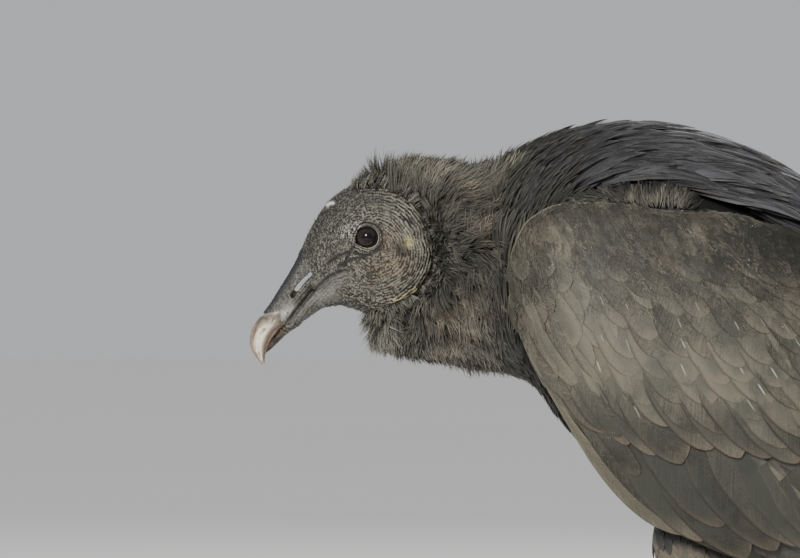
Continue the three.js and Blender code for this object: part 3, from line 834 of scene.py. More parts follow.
def vanes(lines, ups, half, section, camber=0.25, thick=0.3, roll=0.0, shaft=0.0, **masks):
    """Closed vanes along centre lines. half is the half width at each point of each line, or
    two of them, for the edges at -1 and 1. Masks hold a value for each vane or each of its points."""
    across, under = (np.array(c, float) for c in section)
    count, length = lines.shape[:2]
    ahead = unit(np.gradient(lines, axis=1))
    side = unit(np.cross(ahead, ups))
    up = np.cross(side, ahead)
    half = np.broadcast_to(half if np.ndim(half) == 3 else half[..., None], (count, length, 2))
    out = np.where(across < 0, half[..., :1], half[..., 1:]) * across
    dome = 1 - across**2
    mean = half.mean(-1, keepdims=True)
    roll = np.broadcast_to(np.reshape(roll, (-1, 1, 1)), (count, 1, 1))
    height = camber * mean * dome - thick * under * dome * (mean > 0.2) + roll * out
    height = height + shaft * (np.abs(across) < 0.05) * (1 - under)
    points = lines[:, :, None] + side[:, :, None] * out[..., None] + up[:, :, None] * height[..., None]
    ring = len(across)
    first = (np.arange(count) * length * ring)[:, None, None]
    row = (np.arange(length - 1) * ring)[None, :, None]
    k = np.arange(ring)
    a, b = first + row + k, first + row + (k + 1) % ring
    base = first[:, :, 0] + k
    steps = np.linalg.norm(np.diff(lines, axis=1), axis=-1)
    run = np.concatenate([np.zeros((count, 1)), np.cumsum(steps, 1)], 1)
    shape = points.shape[:3]
    spread = {"along": (run / run[:, -1:])[..., None], "across": across,
              "barb": run[..., None] + np.abs(out) * -1.3}
    for name, value in masks.items():
        value = np.asarray(value, float)
        spread[name] = value[:, None, None] if value.ndim == 1 else value[..., None]
    return {
        "points": points.reshape(-1, 3),
        "quads": np.stack([a, b, b + ring, a + ring], -1).reshape(-1, 4),
        "caps": np.concatenate([base[:, ::-1], base + (length - 1) * ring]),
        "masks": {n: np.broadcast_to(v, shape).ravel() for n, v in spread.items()},
        "roots": lines[:, 0],
        "each": length * ring,
        "triangles": count * (2 * ring * (length - 1) + 2 * (ring - 2)),
    }


BODY_AXIS = [[-224, 250], [-160, 312], [-110, 302], [-60, 285], [20, 262], [80, 215], [130, 150], [233, 15]]


def unwrap(points):
    """Where points lie round and along the body, each from 0 to 1."""
    axis = np.asarray(BODY_AXIS, float)
    xz = points[:, [0, 2]]
    share = along_line(axis, xz)[1]
    lengths = np.concatenate([[0], np.cumsum(np.linalg.norm(np.diff(axis, axis=0), axis=1))])
    x, z, place = (np.interp(share * lengths[-1], lengths, c) for c in (*axis.T, np.arange(len(axis))))
    i = np.minimum(place.astype(int), len(axis) - 2)
    way = unit(axis[i + 1] - axis[i])
    rise = (xz[:, 1] - z) * way[:, 0] - (xz[:, 0] - x) * way[:, 1]
    turn = np.arctan2(points[:, 1], rise) / (2 * math.pi) + 0.5
    return np.stack([0.02 + 0.96 * turn, 0.02 + 0.96 * share], 1)


PATCH = 0.003
COAT_LIMIT = 190_000


def coat(name, parts, material, slot, replaces=()):
    """Puts vanes in the scene as one piece, or as several where there are too many triangles."""
    groups, weight = [[]], 0
    for part in parts:
        if weight and weight + part["triangles"] > COAT_LIMIT:
            groups.append([])
            weight = 0
        groups[-1].append(part)
        weight += part["triangles"]
    for number, group in enumerate(groups):
        names = sorted(set().union(*(part["masks"] for part in group)))
        masks, patches, faces, total = {n: [] for n in names}, [], {}, 0
        for part in group:
            for kind in ("quads", "caps"):
                faces.setdefault(part[kind].shape[1], []).append(part[kind] + total)
            count = len(part["points"])
            total += count
            for n in names:
                masks[n].append(part["masks"].get(n, np.zeros(count)))
            home = np.repeat(unwrap(part["roots"]), part["each"], 0)
            own = np.stack([part["masks"]["across"] / 2, part["masks"]["along"] - 0.5], 1)
            patches.append(home + PATCH * own)
        mesh = mesh_of(
            name if len(groups) == 1 else f"{name}_{number + 1}",
            np.concatenate([part["points"] for part in group]), *(np.concatenate(f) for f in faces.values()),
            masks={n: np.concatenate(v) for n, v in masks.items()}, patches=np.concatenate(patches),
        )
        place(mesh.name, mesh, material, slot, () if number else replaces)


def other_side(part):
    """The same vanes on the right side of the body."""
    return part | {name: part[name] * [1, -1, 1] for name in ("points", "roots")} | {
        name: part[name][:, ::-1] for name in ("quads", "caps")}


def split(count, size):
    """Runs of numbers below count, each no longer than size."""
    return [np.arange(a, min(a + size, count)) for a in range(0, count, size)]


def flow_of(table, reach=30.0):
    """A way for feathers to lie, from [u, v, degrees below straight back] at places of the drawing."""
    table = np.asarray(table, float)
    turn = np.radians(table[:, 2])

    def angle(uv):
        gap = ((uv[..., None, :] - table[:, :2]) ** 2).sum(-1) + reach**2
        weight = gap**-2.5
        return np.arctan2((weight * np.sin(turn)).sum(-1), (weight * np.cos(turn)).sum(-1))

    return angle


def turned(vectors, axes, angles):
    """Vectors turned about unit axes."""
    c, s = np.cos(angles)[:, None], np.sin(angles)[:, None]
    return vectors * c + np.cross(axes, vectors) * s


def depth_of(field, skin, roots, most=24.0):
    """How far below a surface the skin is, straight in from each place."""
    inward = -field.normal(roots)
    depth = np.full(len(roots), most)
    for step in np.arange(most, 0, -1.0):
        depth = np.where(skin.at(roots + inward * step) < 0, step, depth)
    return depth


def lay(field, roots, flow, lengths, count, depth, rise=0.0, lift=None, yaw=0.0, bend=1.3):
    """Centre lines over a surface and the ways their vanes face. They start depth below it and
    end rise above it, or stand up at the angles of lift, in radians from root to tip."""
    roots = field.onto(roots)
    depth = np.broadcast_to(depth, len(roots))
    yaw = np.broadcast_to(yaw, len(roots))
    steady = field.normal(roots)
    p = roots - steady * depth[:, None]
    step = (lengths / (count - 1))[:, None]
    lines, ups = [p], []
    for i in range(1, count):
        n = steady if lift is not None else field.normal(p)
        turn = flow(to_drawing(p))
        ahead = np.stack([np.cos(turn), np.zeros(len(p)), -np.sin(turn)], 1)
        ahead = turned(unit(ahead - n * (ahead * n).sum(1, keepdims=True)), n, yaw)
        share = i / (count - 1)
        if lift is None:
            p = p + ahead * step
            level = -depth * (1 - share) ** bend + rise * share**2
            p = p - field.normal(p) * (field.at(p) - level)[:, None]
            ups.append(n)
        else:
            rising = (lift[0] + (lift[1] - lift[0]) * share)[:, None]
            p = p + (ahead * np.cos(rising) + n * np.sin(rising)) * step
            ups.append(n * np.cos(rising) - ahead * np.sin(rising))
        lines.append(p)
    return np.stack(lines, 1), unit(np.stack([*ups, ups[-1]], 1))


def scatter(surface, spacing, keep):
    """Places about spacing apart over a surface, where keep allows."""
    points, quads = surface
    a, b, c, d = (points[quads[:, k]] for k in range(4))
    area = np.linalg.norm(np.cross(c - a, d - b), axis=1) / 2
    count = int(area.sum() / spacing**2 * 4)
    chosen = rng.choice(len(quads), count, p=area / area.sum())
    s, t = rng.random((2, count, 1))
    places = (a[chosen] * (1 - s) + b[chosen] * s) * (1 - t) + (d[chosen] * (1 - s) + c[chosen] * s) * t
    places = places[keep(places)]
    _, first = np.unique(np.floor(places / spacing).astype(int), axis=0, return_index=True)
    return places[rng.permutation(first)]


def rounded(count, start=0.45, wide=0.55, tip=0.06, blunt=0.5):
    """Half widths along a vane with a rounded tip, and the shares of its length they hold for."""
    t = 1 - (1 - np.linspace(0, 1, count)) ** 1.35
    rise = start + (1 - start) * ease(0, wide, t)
    fall = np.clip(1 - (np.clip((t - wide) / (1 - wide), 0, 1)) ** 2.4, 0, 1) ** blunt
    return np.maximum(rise * fall, tip), t


def pointed(count, start, wide, power):
    """Half widths along a vane with a pointed tip."""
    t = np.linspace(0, 1, count)
    fall = 1 - np.clip((t - wide) / (1 - wide), 0, 1) ** (power * 1.6)
    return np.maximum((start + (1 - start) * ease(0, wide, t)) * fall, 0.05)


def part_way(lines, row, place):
    """Points of lines at places between their own points, and the number of the point before."""
    i = np.minimum(place.astype(int), lines.shape[1] - 2)
    f = (place - i)[..., None]
    return lines[row, i] * (1 - f) + lines[row, i + 1] * f, i


def along_lines(lines, t):
    """Lines resampled at shares t of their points."""
    return part_way(lines, np.arange(len(lines))[:, None], np.asarray(t) * (lines.shape[1] - 1))[0]


# ---------- the wing's outer face ----------

# Stations: [upper x, y, z, lower x, y, z, outward bulge]
WING = [
    [-91.2, 50, 312.2, -91.2, 50, 288.3, 4],
    [-81.6, 54, 329.7, -81.6, 59, 244.9, 14],
    [-55.1, 58, 339.7, -52.5, 67, 196.1, 22],
    [-12.7, 56, 342.9, -2.1, 72, 161.1, 26],
    [40.3, 49, 332.8, 56.2, 73, 134.6, 27],
    [93.3, 32, 300.0, 109.2, 68, 99.1, 26],
    [135.7, 17, 245.9, 154.2, 60, 65.7, 22],
    [172.8, 9, 179.7, 188.7, 51, 40.8, 16],
    [201.9, 8, 108.1, 212.5, 44, 23.3, 10],
    [220.5, 14, 47.2, 223.7, 36, 14.8, 4],
]


def wing_places(t, s):
    """Points of a wing's face: t from the shoulder to the tip, s from the upper to the lower edge."""
    t, s = np.broadcast_arrays(np.asarray(t, float), np.asarray(s, float))
    row = stations(WING, t.ravel())
    upper, lower = row[:, :3], row[:, 3:6]
    chord = unit(lower - upper)
    out = unit(np.array([0, 1, 0]) - chord * chord[:, 1:2])
    s = s.ravel()[:, None]
    arch = np.sin(np.clip(s, 0, 1) * math.pi) ** 0.8
    points = upper + (lower - upper) * s + out * (0.9 + row[:, 6:7] * arch)
    return points.reshape(*t.shape, 3)


class Sheet:
    """A wing's outer face as its distance from the middle plane, carried on past its edges."""

    cell, low, shape = 2.0, np.array([-125.0, -15.0]), (190, 190)

    def __init__(self):
        def around(grid):
            return sum(np.roll(grid, shift, (0, 1)) for shift in ((1, 0), (-1, 0), (0, 1), (0, -1)))

        points = wing_places(np.linspace(0, 1, 900)[:, None], np.linspace(0, 1, 500)).reshape(-1, 3)
        place = tuple(np.round((points[:, [0, 2]] - self.low) / self.cell).astype(int).T)
        total, count = np.zeros(self.shape), np.zeros(self.shape)
        np.add.at(total, place, points[:, 1])
        np.add.at(count, place, 1)
        values = total / np.maximum(count, 1)
        filled = (count > 0).astype(float)
        for _ in range(40):
            near_values, near_filled = around(values * filled), around(filled)
            new = (filled == 0) & (near_filled > 0)
            values = np.where(new, near_values / np.maximum(near_filled, 1) - 0.9, values)
            filled = np.where(new, 1.0, filled)
        for _ in range(4):
            values = (values * 2 + around(values)) / 6
        self.values = values

    def out(self, xz):
        q = (xz - self.low) / self.cell
        i = np.clip(np.floor(q).astype(int), 0, np.array(self.shape) - 2)
        x, z = np.moveaxis(i, -1, 0)
        f, g = np.moveaxis(np.clip(q - i, 0, 1), -1, 0)
        a, b = (self.values[x, z + k] * (1 - f) + self.values[x + 1, z + k] * f for k in (0, 1))
        return a * (1 - g) + b * g

    def points(self, uv, level):
        """Points of the left wing's face over places of the side drawing, and the ways it faces."""
        xz = from_drawing(uv)
        slope_x, slope_z = (
            (self.out(xz + step) - self.out(xz - step)) / (2 * self.cell) for step in np.eye(2) * self.cell)
        up = unit(np.stack([-slope_x, -np.ones_like(slope_x), -slope_z], -1))
        points = np.stack([xz[..., 0], -self.out(xz), xz[..., 1]], -1)
        return points + up * np.asarray(level)[..., None], up


def run_back(uv, lengths, count, flow):
    """Lines of the drawing that end at uv and lie with the flow, from root to tip."""
    lines = [uv]
    for _ in range(count - 1):
        turn = flow(lines[-1])
        step = (lengths / (count - 1))[:, None] * np.stack([np.cos(turn), np.sin(turn)], 1)
        lines.append(lines[-1] - step)
    return np.stack(lines[::-1], 1)


# ---------- flesh ----------

# Stations of neck and trunk, over their feathers: [upper x, upper z, lower x, lower z, half width]
BODY = [
    [-176.0, 347.7, -174.5, 272.5, 9],
    [-166.4, 357.8, -170.0, 260.5, 14.5],
    [-150.5, 362.0, -153.0, 249.7, 19],
    [-130.5, 361.6, -130.5, 246.0, 30],
    [-109.2, 358.3, -106.0, 243.3, 39],
    [-93.3, 362.0, -81.6, 240.1, 46],
    [-63.1, 373.1, -64.1, 217.8, 56],
    [-23.3, 376.8, -39.2, 194.0, 64],
    [24.4, 366.2, -10.1, 172.8, 68],
    [66.8, 342.4, 21.7, 158.5, 65],
    [98.6, 303.2, 53.5, 145.2, 57],
    [122.4, 256.5, 82.7, 129.3, 46],
    [138.3, 208.8, 106.5, 116.1, 34],
    [148.9, 171.7, 127.7, 105.5, 23],
    [160.0, 143.0, 149.0, 96.0, 14],
]
BODY_BOX = ([-186, -98, 88], [172, 98, 388], 2.4)  # low, high, cell
BODY_REACH = 26.0
COAT_DEPTH = [[-178, 3.5], [-166, 5.5], [-150, 7], [-130, 8], [-90, 9], [0, 11], [110, 10], [160, 6]]  # x, mm


def body_fields():
    """The coat's outer face, the flesh under it, and the flesh and the head together."""
    coat_face, flesh, skin_face = (Field(*BODY_BOX) for _ in range(3))
    xyz = coat_face.points()
    trunk = coat_face.to_loft(oval_rings(BODY, 72, 150), BODY_REACH)
    coat_face.values = trunk
    depth = np.interp(xyz[0], *np.array(COAT_DEPTH, float).T)
    x, z = np.broadcast_arrays(xyz[0], xyz[2])
    behind = past_bare(np.stack([x, np.zeros_like(x), z], -1))
    flesh.values = trunk + depth + 13 * ease(16, -4, behind) * (xyz[0] < -90)
    for side_name, _ in SIDES:
        thigh = coat_face.to_nodes((f"thigh_{side_name}",), BODY_REACH)
        coat_face.join(thigh + 3.0, 6.0)
        flesh.join(thigh + np.interp(xyz[2], [80, 92, 125, 200], [0.6, 3.0, 8.0, 12.0]), 12.0)
    for side_name, side in SIDES:
        flesh.join(flesh.to_nodes((f"wing_coverts_{side_name}",), BODY_REACH) + 5.0)
        flesh.join(rod(xyz, [-40, side * 34, 300], [-30, side * 60, 285], 15, 14), 10.0)
    coat_face.soften(3)
    flesh.soften(3)
    skin_face.join(flesh.values)
    skin_face.join(flesh.to_loft(oval_rings(HEAD, 48, 40, 0.16, 0.92), BODY_REACH))
    return coat_face, flesh, skin_face


# Stations of the leg's bare part from the middle of the foot: [front x, z, rear x, z, half width, y]
TARSUS = [
    [10.0, 106.0, 27.0, 105.0, 6.0, 2.4],
    [8.0, 92.0, 29.5, 91.0, 7.4, 1.8],
    [7.4, 81.0, 30.4, 80.6, 7.8, 1.3],
    [8.6, 73.5, 29.4, 75.0, 7.6, 1.0],
    [8.8, 64.0, 24.6, 66.5, 6.0, 0.6],
    [5.6, 50.0, 17.8, 52.5, 5.0, 0.2],
    [1.0, 33.0, 13.0, 35.5, 5.0, 0.0],
    [-4.2, 17.0, 11.0, 19.0, 6.8, 0.0],
    [-9.2, 8.0, 9.6, 8.0, 8.6, 0.0],
    [-8.0, 2.0, 8.0, 2.0, 7.2, 0.0],
]
# Toes: degrees from straight ahead towards the outside, length, claw, radius, joints
TOES = [(2, 64, 18, 4.9, 3), (-32, 40, 16, 4.6, 2), (30, 46, 15, 4.4, 4), (172, 24, 13, 4.0, 1)]
TOE_SIZES = [0.98, 1.06, 0.96, 1.02, 0.9, 0.72]  # shares of a toe's radius along it
FOOT_CELL = 0.8


def toe_place(turn, distance, z):
    heading = math.radians(180 - turn)
    return np.array([distance * math.cos(heading), distance * math.sin(heading), z])


def on_foot(points, side):
    """Points about the middle of the right foot, where they are on the foot of a side."""
    return (points + [FOOT_X + side * STRIDE, FOOT_Y, 0]) * [1, side, 1]


def foot():
    """The bare leg and toes of the right side, about the middle of the foot."""
    field = Field([-72, -38, -2], [44, 38, 114], FOOT_CELL)
    xyz = field.points()
    field.join(field.to_loft(oval_rings(TARSUS, 48, 90), 6.0))
    for turn, length, _, radius, joints in TOES:
        places = [
            (toe_place(turn, length * t, radius * 0.86 * k + 2.6 * max(0, 0.3 - t)), radius * 0.92 * k)
            for t, k in zip(np.linspace(0.06, 1.0, len(TOE_SIZES)), TOE_SIZES)]
        for (a, a_radius), (b, b_radius) in zip(places, places[1:]):
            field.join(rod(xyz, a, b, a_radius, b_radius), 1.6)
        for j in range(joints):  # pads under the joints
            pad = toe_place(turn, length * ((j + 1) / (joints + 0.9)), 2.3)
            field.join(ball(xyz, pad, radius * np.array([0.95, 0.95, 0.5])), 1.5)
        for share in np.arange(0.16, 0.98, 3.0 / length):  # broad plates across the top of the toe
            top = toe_place(turn, length * share, radius * (1.62 - 0.35 * share))
            across = 0.62 * radius * toe_place(turn + 90, 1, 0)
            field.join(rod(xyz, top - across, top + across, 1.15, 1.15), 0.7)
    for z in np.arange(12, 78, 3.2):  # plates down the front of the leg
        t = np.interp(-z, [-row[1] for row in TARSUS], np.linspace(0, 1, len(TARSUS)))
        row = stations(TARSUS, np.array([t]))[0]
        field.join(ball(xyz, [row[0] + 1.7, row[5], z], [2.3, 3.4, 1.5]), 0.8)
    field.join(ball(xyz, toe_place(14, 14, 2.6), [13, 6, 2.0]), 2.0)  # webs between the toes
    field.join(ball(xyz, toe_place(-14, 13, 2.6), [12, 5.5, 2.0]), 2.0)
    field.cut(xyz[2] - 0.05)
    return field.surface()


def claws(side_name, side):
    """Curved claws of one foot, on its toes."""
    t = np.linspace(0, 1, 16)[:, None]
    for (turn, length, claw, radius, _), toe in zip(TOES, ("middle", "inner", "outer", "hind")):
        a = toe_place(turn, length - 2.5, radius * 0.66)
        b = toe_place(turn, length + claw * 0.6, radius * 0.62 + 4.2)
        c = toe_place(turn, length + claw, 0.55)
        path = a * (1 - t) ** 2 + 2 * b * t * (1 - t) + c * t**2
        thick = radius * 0.60 * (1 - t[:, 0]) ** 0.85 + 0.32
        points, quads, fans = solid_loft(tube_rings(path, thick, 20, 1.12))
        points[:, 2] = np.maximum(points[:, 2], 0.05)
        points = on_foot(points, side)
        masks = {"t": np.append(np.repeat(t, 20), [0, 1])}
        name = f"claw_{toe}_{side_name}"
        place(name, mesh_of(f"claw_{toe}", points, *outward(points, quads, fans), masks=masks),
              CLAW_PAINT, "claw", (name,))


def joined(meshes):
    """One closed mesh from several overlapping ones: its points, triangles and point normals."""
    first, *others = parts = [bpy.data.objects.new("part", mesh) for mesh in meshes]
    for part in parts:
        bpy.context.scene.collection.objects.link(part)
    for other in others:
        union = first.modifiers.new("union", "BOOLEAN")
        union.operation = "UNION"
        union.solver = "MANIFOLD"
        union.object = other
    made = first.evaluated_get(bpy.context.evaluated_depsgraph_get())
    arrays = arrays_of(bpy.data.meshes.new_from_object(made))
    for part in parts:
        bpy.data.objects.remove(part)
    return arrays


# ---------- markings ----------

BEIGE = [  # pale rusty patches of the ruff: [u, v, radius]
    [431, 174, 9], [455, 187, 10], [482, 205, 8], [475, 231, 10], [457, 296, 9], [480, 301, 7],
    [436, 312, 9], [462, 320, 9], [445, 337, 8], [482, 348, 8], [433, 350, 9], [412, 160, 6],
    [500, 172, 6], [398, 168, 5], [407, 300, 5],
]
BARE_EDGE = [
    [340, 178], [351.6, 183], [375.5, 183.6], [399.5, 192.5], [420, 210], [431, 232], [435, 251],
    [431, 273.5], [415, 292.7], [383.5, 308.6], [361, 315], [345, 316],
]


def beige_at(points):
    u, v = drawn(points)
    total = np.zeros(len(points))
    for spot_u, spot_v, radius in BEIGE:
        total = np.maximum(total, hill(np.hypot((u - spot_u) / 1.25, v - spot_v), 0, radius))
    return np.clip(total + 0.13 * noise(points, 7, 40), 0, 1)


def past_bare(points):
    """How far points are behind the edge of the bare skin, in drawing units."""
    u, v = drawn(points)
    gap = gap_to(BARE_EDGE, to_drawing(points))
    from_centre = np.hypot(u - RING_CENTRE[0], v - RING_CENTRE[1])
    inside = (from_centre < 61.5) | (u < 351) | ((u < 378) & (v > 225) & (v < 314))
    return np.where(inside, -gap, gap)


# ---------- the ruff ----------

RUFF_FLOW = flow_of([
    [362, 172, -62], [385, 160, -58], [420, 156, -50], [450, 158, -42], [480, 164, -25], [510, 160, -40],
    [535, 150, -45], [420, 195, -45], [450, 195, -35], [480, 200, -25], [505, 195, -62], [530, 175, -55],
    [440, 230, -20], [470, 240, 8], [498, 232, -20], [500, 262, 42], [500, 282, 55], [445, 265, 22],
    [475, 275, 35], [500, 305, 72], [435, 295, 35], [410, 312, 60], [380, 325, 82], [375, 340, 85],
    [400, 350, 72], [430, 355, 55], [455, 330, 40], [470, 355, 35], [495, 350, 60], [515, 370, 68],
    [505, 330, 80],
])
TUFT_STATIONS = [0, 0.52, 1]
TUFT_RUN, BODY_RUN, STREAK_RUN = 850, 2000, 4000  # how many feathers are worked out at a time
BARB = np.array([0.18, 0.26, 0.04])  # half widths along a barb


def tufts(spines, ups, tone, beige, locks, width):
    """Soft tufts of short barbs that spread from their roots."""
    parts = []
    t = np.linspace(0, 1, spines.shape[1])[None, :, None]
    spread = 0.75 + 0.5 * t
    for run in split(len(spines), TUFT_RUN):
        pick = np.repeat(run, locks)
        n = len(pick)
        spin, far = rng.uniform(0, 2 * math.pi, n), np.sqrt(rng.random(n)) * width
        side = np.cross(unit(np.gradient(spines[pick], axis=1)), ups[pick])
        lines = (
            spines[pick]
            + side * (np.cos(spin) * far)[:, None, None] * spread
            + ups[pick] * (np.sin(spin) * far * 0.7)[:, None, None] * spread
            + side * (0.3 * np.sin(t * 5 + spin[:, None, None] * 3) * t)
        )
        reach = rng.uniform(0.66, 1.1, n)[:, None, None]
        lines = along_lines(lines[:, :1] + (lines - lines[:, :1]) * reach, TUFT_STATIONS)
        half = BARB * rng.uniform(0.7, 1.3, (n, 1))
        twist = rng.normal(0, 0.45, n)[:, None, None]
        facing = along_lines(ups[pick] * np.cos(twist) + side * np.sin(twist), TUFT_STATIONS)
        uv = to_drawing(lines)
        parts.append(vanes(
            lines, facing, half, BLADE, camber=0.3,
            tone=np.clip(tone[pick] + rng.normal(0, 0.06, n), 0, 1.3), beige=beige[pick],
            shade=wing_shade(uv), fringe=ease(325, 350, uv[..., 1]),
        ))
    return parts


def ruff_tufts(coat_face, skin_face, surface):
    def keep(places):
        back = past_bare(places) + noise(places, 4, 50) * 1.5
        thin = ease(-82, -97, places[:, 0] + 4 * noise(places, 10, 51))
        return (back > -1.5) & (rng.random(len(places)) < thin)

    roots = scatter(surface, 2.75, keep)
    depth = depth_of(coat_face, skin_face, roots) + 0.6
    u, v = drawn(roots)
    back = past_bare(roots)
    near, base, crown = ease(26, 2, back), ease(480, 510, u), ease(203, 180, v)
    throat = ease(300, 316, v) * ease(470, 420, u)
    rim = ease(13, 1, back) * (1 - crown) * (1 - throat)
    front, under = crown * ease(412, 372, u), throat * ease(338, 356, v)
    steep = 52 + 26 * near * (1 - 0.4 * throat) - 24 * base + 14 * rim + 17 * front
    level = 22 + 20 * near * (1 - 0.4 * crown) + 36 * rim - 10 * base + 38 * front
    count = len(roots)
    lift = [np.radians(rise) * rng.uniform(*around, count)
            for rise, around in ((steep, (0.9, 1.1)), (level, (0.5, 1.3)))]
    spare = 0.5 + 2.0 * crown * ease(470, 440, u) * (1 - 0.9 * front) + 3.0 * under + 5 * rim
    length = (depth - spare) / (np.sin(lift[0]) * 0.55 + np.sin(lift[1]) * 0.45)
    length = np.clip(length, 4, 16 + 8 * throat + 12 * rim + 5 * crown) * rng.uniform(0.84, 1.06, count)
    length = length + 5.0 * crown * hill(u, 364, 7) * rng.uniform(0.6, 1.1, count)
    yaw = 0.7 * noise(roots, 9, 42) + rng.normal(0, 0.4, count)
    spines, ups = lay(coat_face, roots, RUFF_FLOW, length, 6, depth, lift=lift, yaw=yaw)
    tone = 0.42 + 0.26 * crown - 0.16 * throat + 0.24 * noise(roots, 8, 41) + rng.normal(0, 0.08, count)
    # painted light: tufts round the rim of the bare skin and at the front of the throat, which lie in shade,
    # are made paler
    tone = tone + 0.65 * rim + 0.65 * throat * ease(402, 380, u) - 0.12 * ease(460, 480, u)
    clear = clear_of_wing(spines)
    return tufts(spines[clear], ups[clear], np.clip(tone, 0, 1.2)[clear], beige_at(roots)[clear], 10, 2.1)


def rim_tufts(skin_face):
    """Short tufts that stand close round the edge of the bare skin."""
    def keep(places):
        back = past_bare(places)
        u, v = drawn(places)
        return (back > -1) & (back < 10) & (np.abs(places[:, 1]) > 3) & ((u > 385) | (v < 300))

    roots = scatter(skin_face.surface(), 2.3, keep)
    count = len(roots)
    lift = [np.radians(rng.uniform(55, 75, count)), np.radians(rng.uniform(30, 60, count))]
    spines, ups = lay(skin_face, roots, RUFF_FLOW, rng.uniform(5.5, 9.0, count), 5, 1.2, lift=lift,
                      yaw=rng.normal(0, 0.4, count))
    # painted light: these tufts in the shade behind the head are made pale
    tone = np.clip(rng.normal(0.8, 0.12, count), 0, 1)
    return tufts(spines, ups, tone, np.zeros(count), 7, 1.5)


def bristles(points, normals, masks, count=1700):
    """Sparse tiny bristles on the rough skin of the face."""
    uv = to_drawing(points)
    before = ease(392, 372, uv[:, 0]) + ease(200, 190, uv[:, 1])
    chance = masks["head"] * (1 - masks["smooth_skin"]) * np.clip(before, 0, 1) * (masks["crease"] < 0.3)
    chance = chance * (np.hypot(*(uv - EYE_UV).T) > 15) * (uv[:, 0] > 303)
    picked = rng.choice(len(points), count, p=chance / chance.sum())
    root, n = points[picked] - normals[picked] * 0.3, normals[picked]
    back = np.array([0.55, 0, 0.35]) + rng.normal(0, 0.35, (count, 3))
    ahead = unit(back - n * (back * n).sum(1, keepdims=True))
    reach = rng.uniform(1.2, 2.3, (count, 1, 1))
    rise = np.array([0, 0.5, 1.0])[None, :, None]
    lines = root[:, None] + (n[:, None] * np.sqrt(rise) * 0.6 + ahead[:, None] * rise) * reach
    ups = np.broadcast_to(n[:, None], lines.shape)
    half = np.array([0.13, 0.11, 0.03])
    return vanes(lines, ups, half, BLADE, camber=0.3, tone=rng.uniform(0.3, 1.1, count))


def wing_shade(uv):
    """1 in the shade close before the wing's front edge."""
    return band(WING_EDGE[-10:] + WING_EDGE[:4], uv, 8.5) * ease(285, 345, uv[..., 1]) * 0.95


SHOULDER = [
    [566, 197], [580, 190], [604, 186], [640, 184.5], [668, 185], [684, 190], [694, 197], [700, 206],
    [694, 205], [650, 201.5], [600, 196],
]


def shoulder_tufts(sheet, most=3000):
    """Loose brownish tufts that show between the mantle and the top of the wing."""
    places = rng.uniform([570, 178], [730, 208], (most, 2))
    places = places[in_outline(SHOULDER, places)]
    u, v = places.T
    count = len(places)
    turn = np.interp(u, [572, 600, 622, 655, 676, 694], [0.0, 0.5, 1.1, 1.45, 1.8, 2.5])
    turn = turn + 0.5 * noise(places, 7, 45) + rng.normal(0, 0.22, count)
    lines2 = run_back(places, rng.uniform(12, 22, count), 5, lambda uv: turn)
    lines2 = kept_inside(lines2, SHOULDER, 0.5)
    drop = np.interp(lines2[..., 1], [180, 206], [-3.2, -2.8])
    lines, ups = sheet.points(lines2, drop + rng.normal(0, 0.7, (count, 1)))
    half = np.array([0.25, 0.38, 0.4, 0.26, 0.05]) * rng.uniform(0.7, 1.3, (count, 1))
    front = ease(640, 610, u)
    gap = ease(674, 690, u) + ease(190, 186, v) * ease(600, 620, u)
    return [vanes(
        lines, ups, half, BLADE, camber=0.4,
        tone=0.38 - 0.3 * front + 0.3 * noise(places, 6, 46) + rng.normal(0, 0.15, count),
        beige=(0.32 - 0.3 * front) * rng.uniform(0.0, 1, count),
        shade=np.clip(gap, 0, 1) * rng.uniform(0.6, 1, count),
    )]


# ---------- body feathers ----------

BODY_FLOW = flow_of([
    [505, 190, -62], [515, 215, -68], [530, 175, -52], [545, 160, -42], [570, 148, -32], [600, 132, -14],
    [650, 130, 4], [700, 140, 12], [760, 160, 22], [800, 190, 30], [545, 200, -55], [560, 180, -44],
    [600, 165, -20], [650, 158, 0], [700, 168, 8], [760, 190, 20], [850, 220, 36], [900, 300, 50],
    [935, 400, 60], [950, 480, 62], [960, 600, 52], [503, 236, -64], [504, 262, -8], [503, 282, 35],
    [510, 305, 72], [525, 350, 76], [540, 390, 68], [560, 430, 62], [600, 500, 50], [640, 540, 46],
    [700, 600, 34], [800, 650, 24], [850, 700, 36], [950, 720, 38], [680, 480, 82], [690, 560, 88],
    [700, 620, 84], [720, 680, 74], [770, 600, 74], [800, 680, 66],
])
BACK_LINE = np.array([
    [500, 245], [520, 215], [545, 197], [575, 184], [620, 177], [672, 173], [716, 183], [752, 196],
    [800, 219], [860, 268], [950, 415],
], float).T
MANTLE_EDGE = np.array([
    [560, 215], [580, 192], [606, 182], [640, 177.5], [672, 176], [694, 182], [716, 190], [752, 203],
    [800, 226], [840, 262], [860, 320],
], float).T


def under_mantle(uv):
    """How far places are below the mantle's free edge over the wing, in drawing units."""
    return uv[..., 1] - np.interp(uv[..., 0], *MANTLE_EDGE)


def above_back_line(uv):
    return np.interp(uv[:, 0], *BACK_LINE) - uv[:, 1]


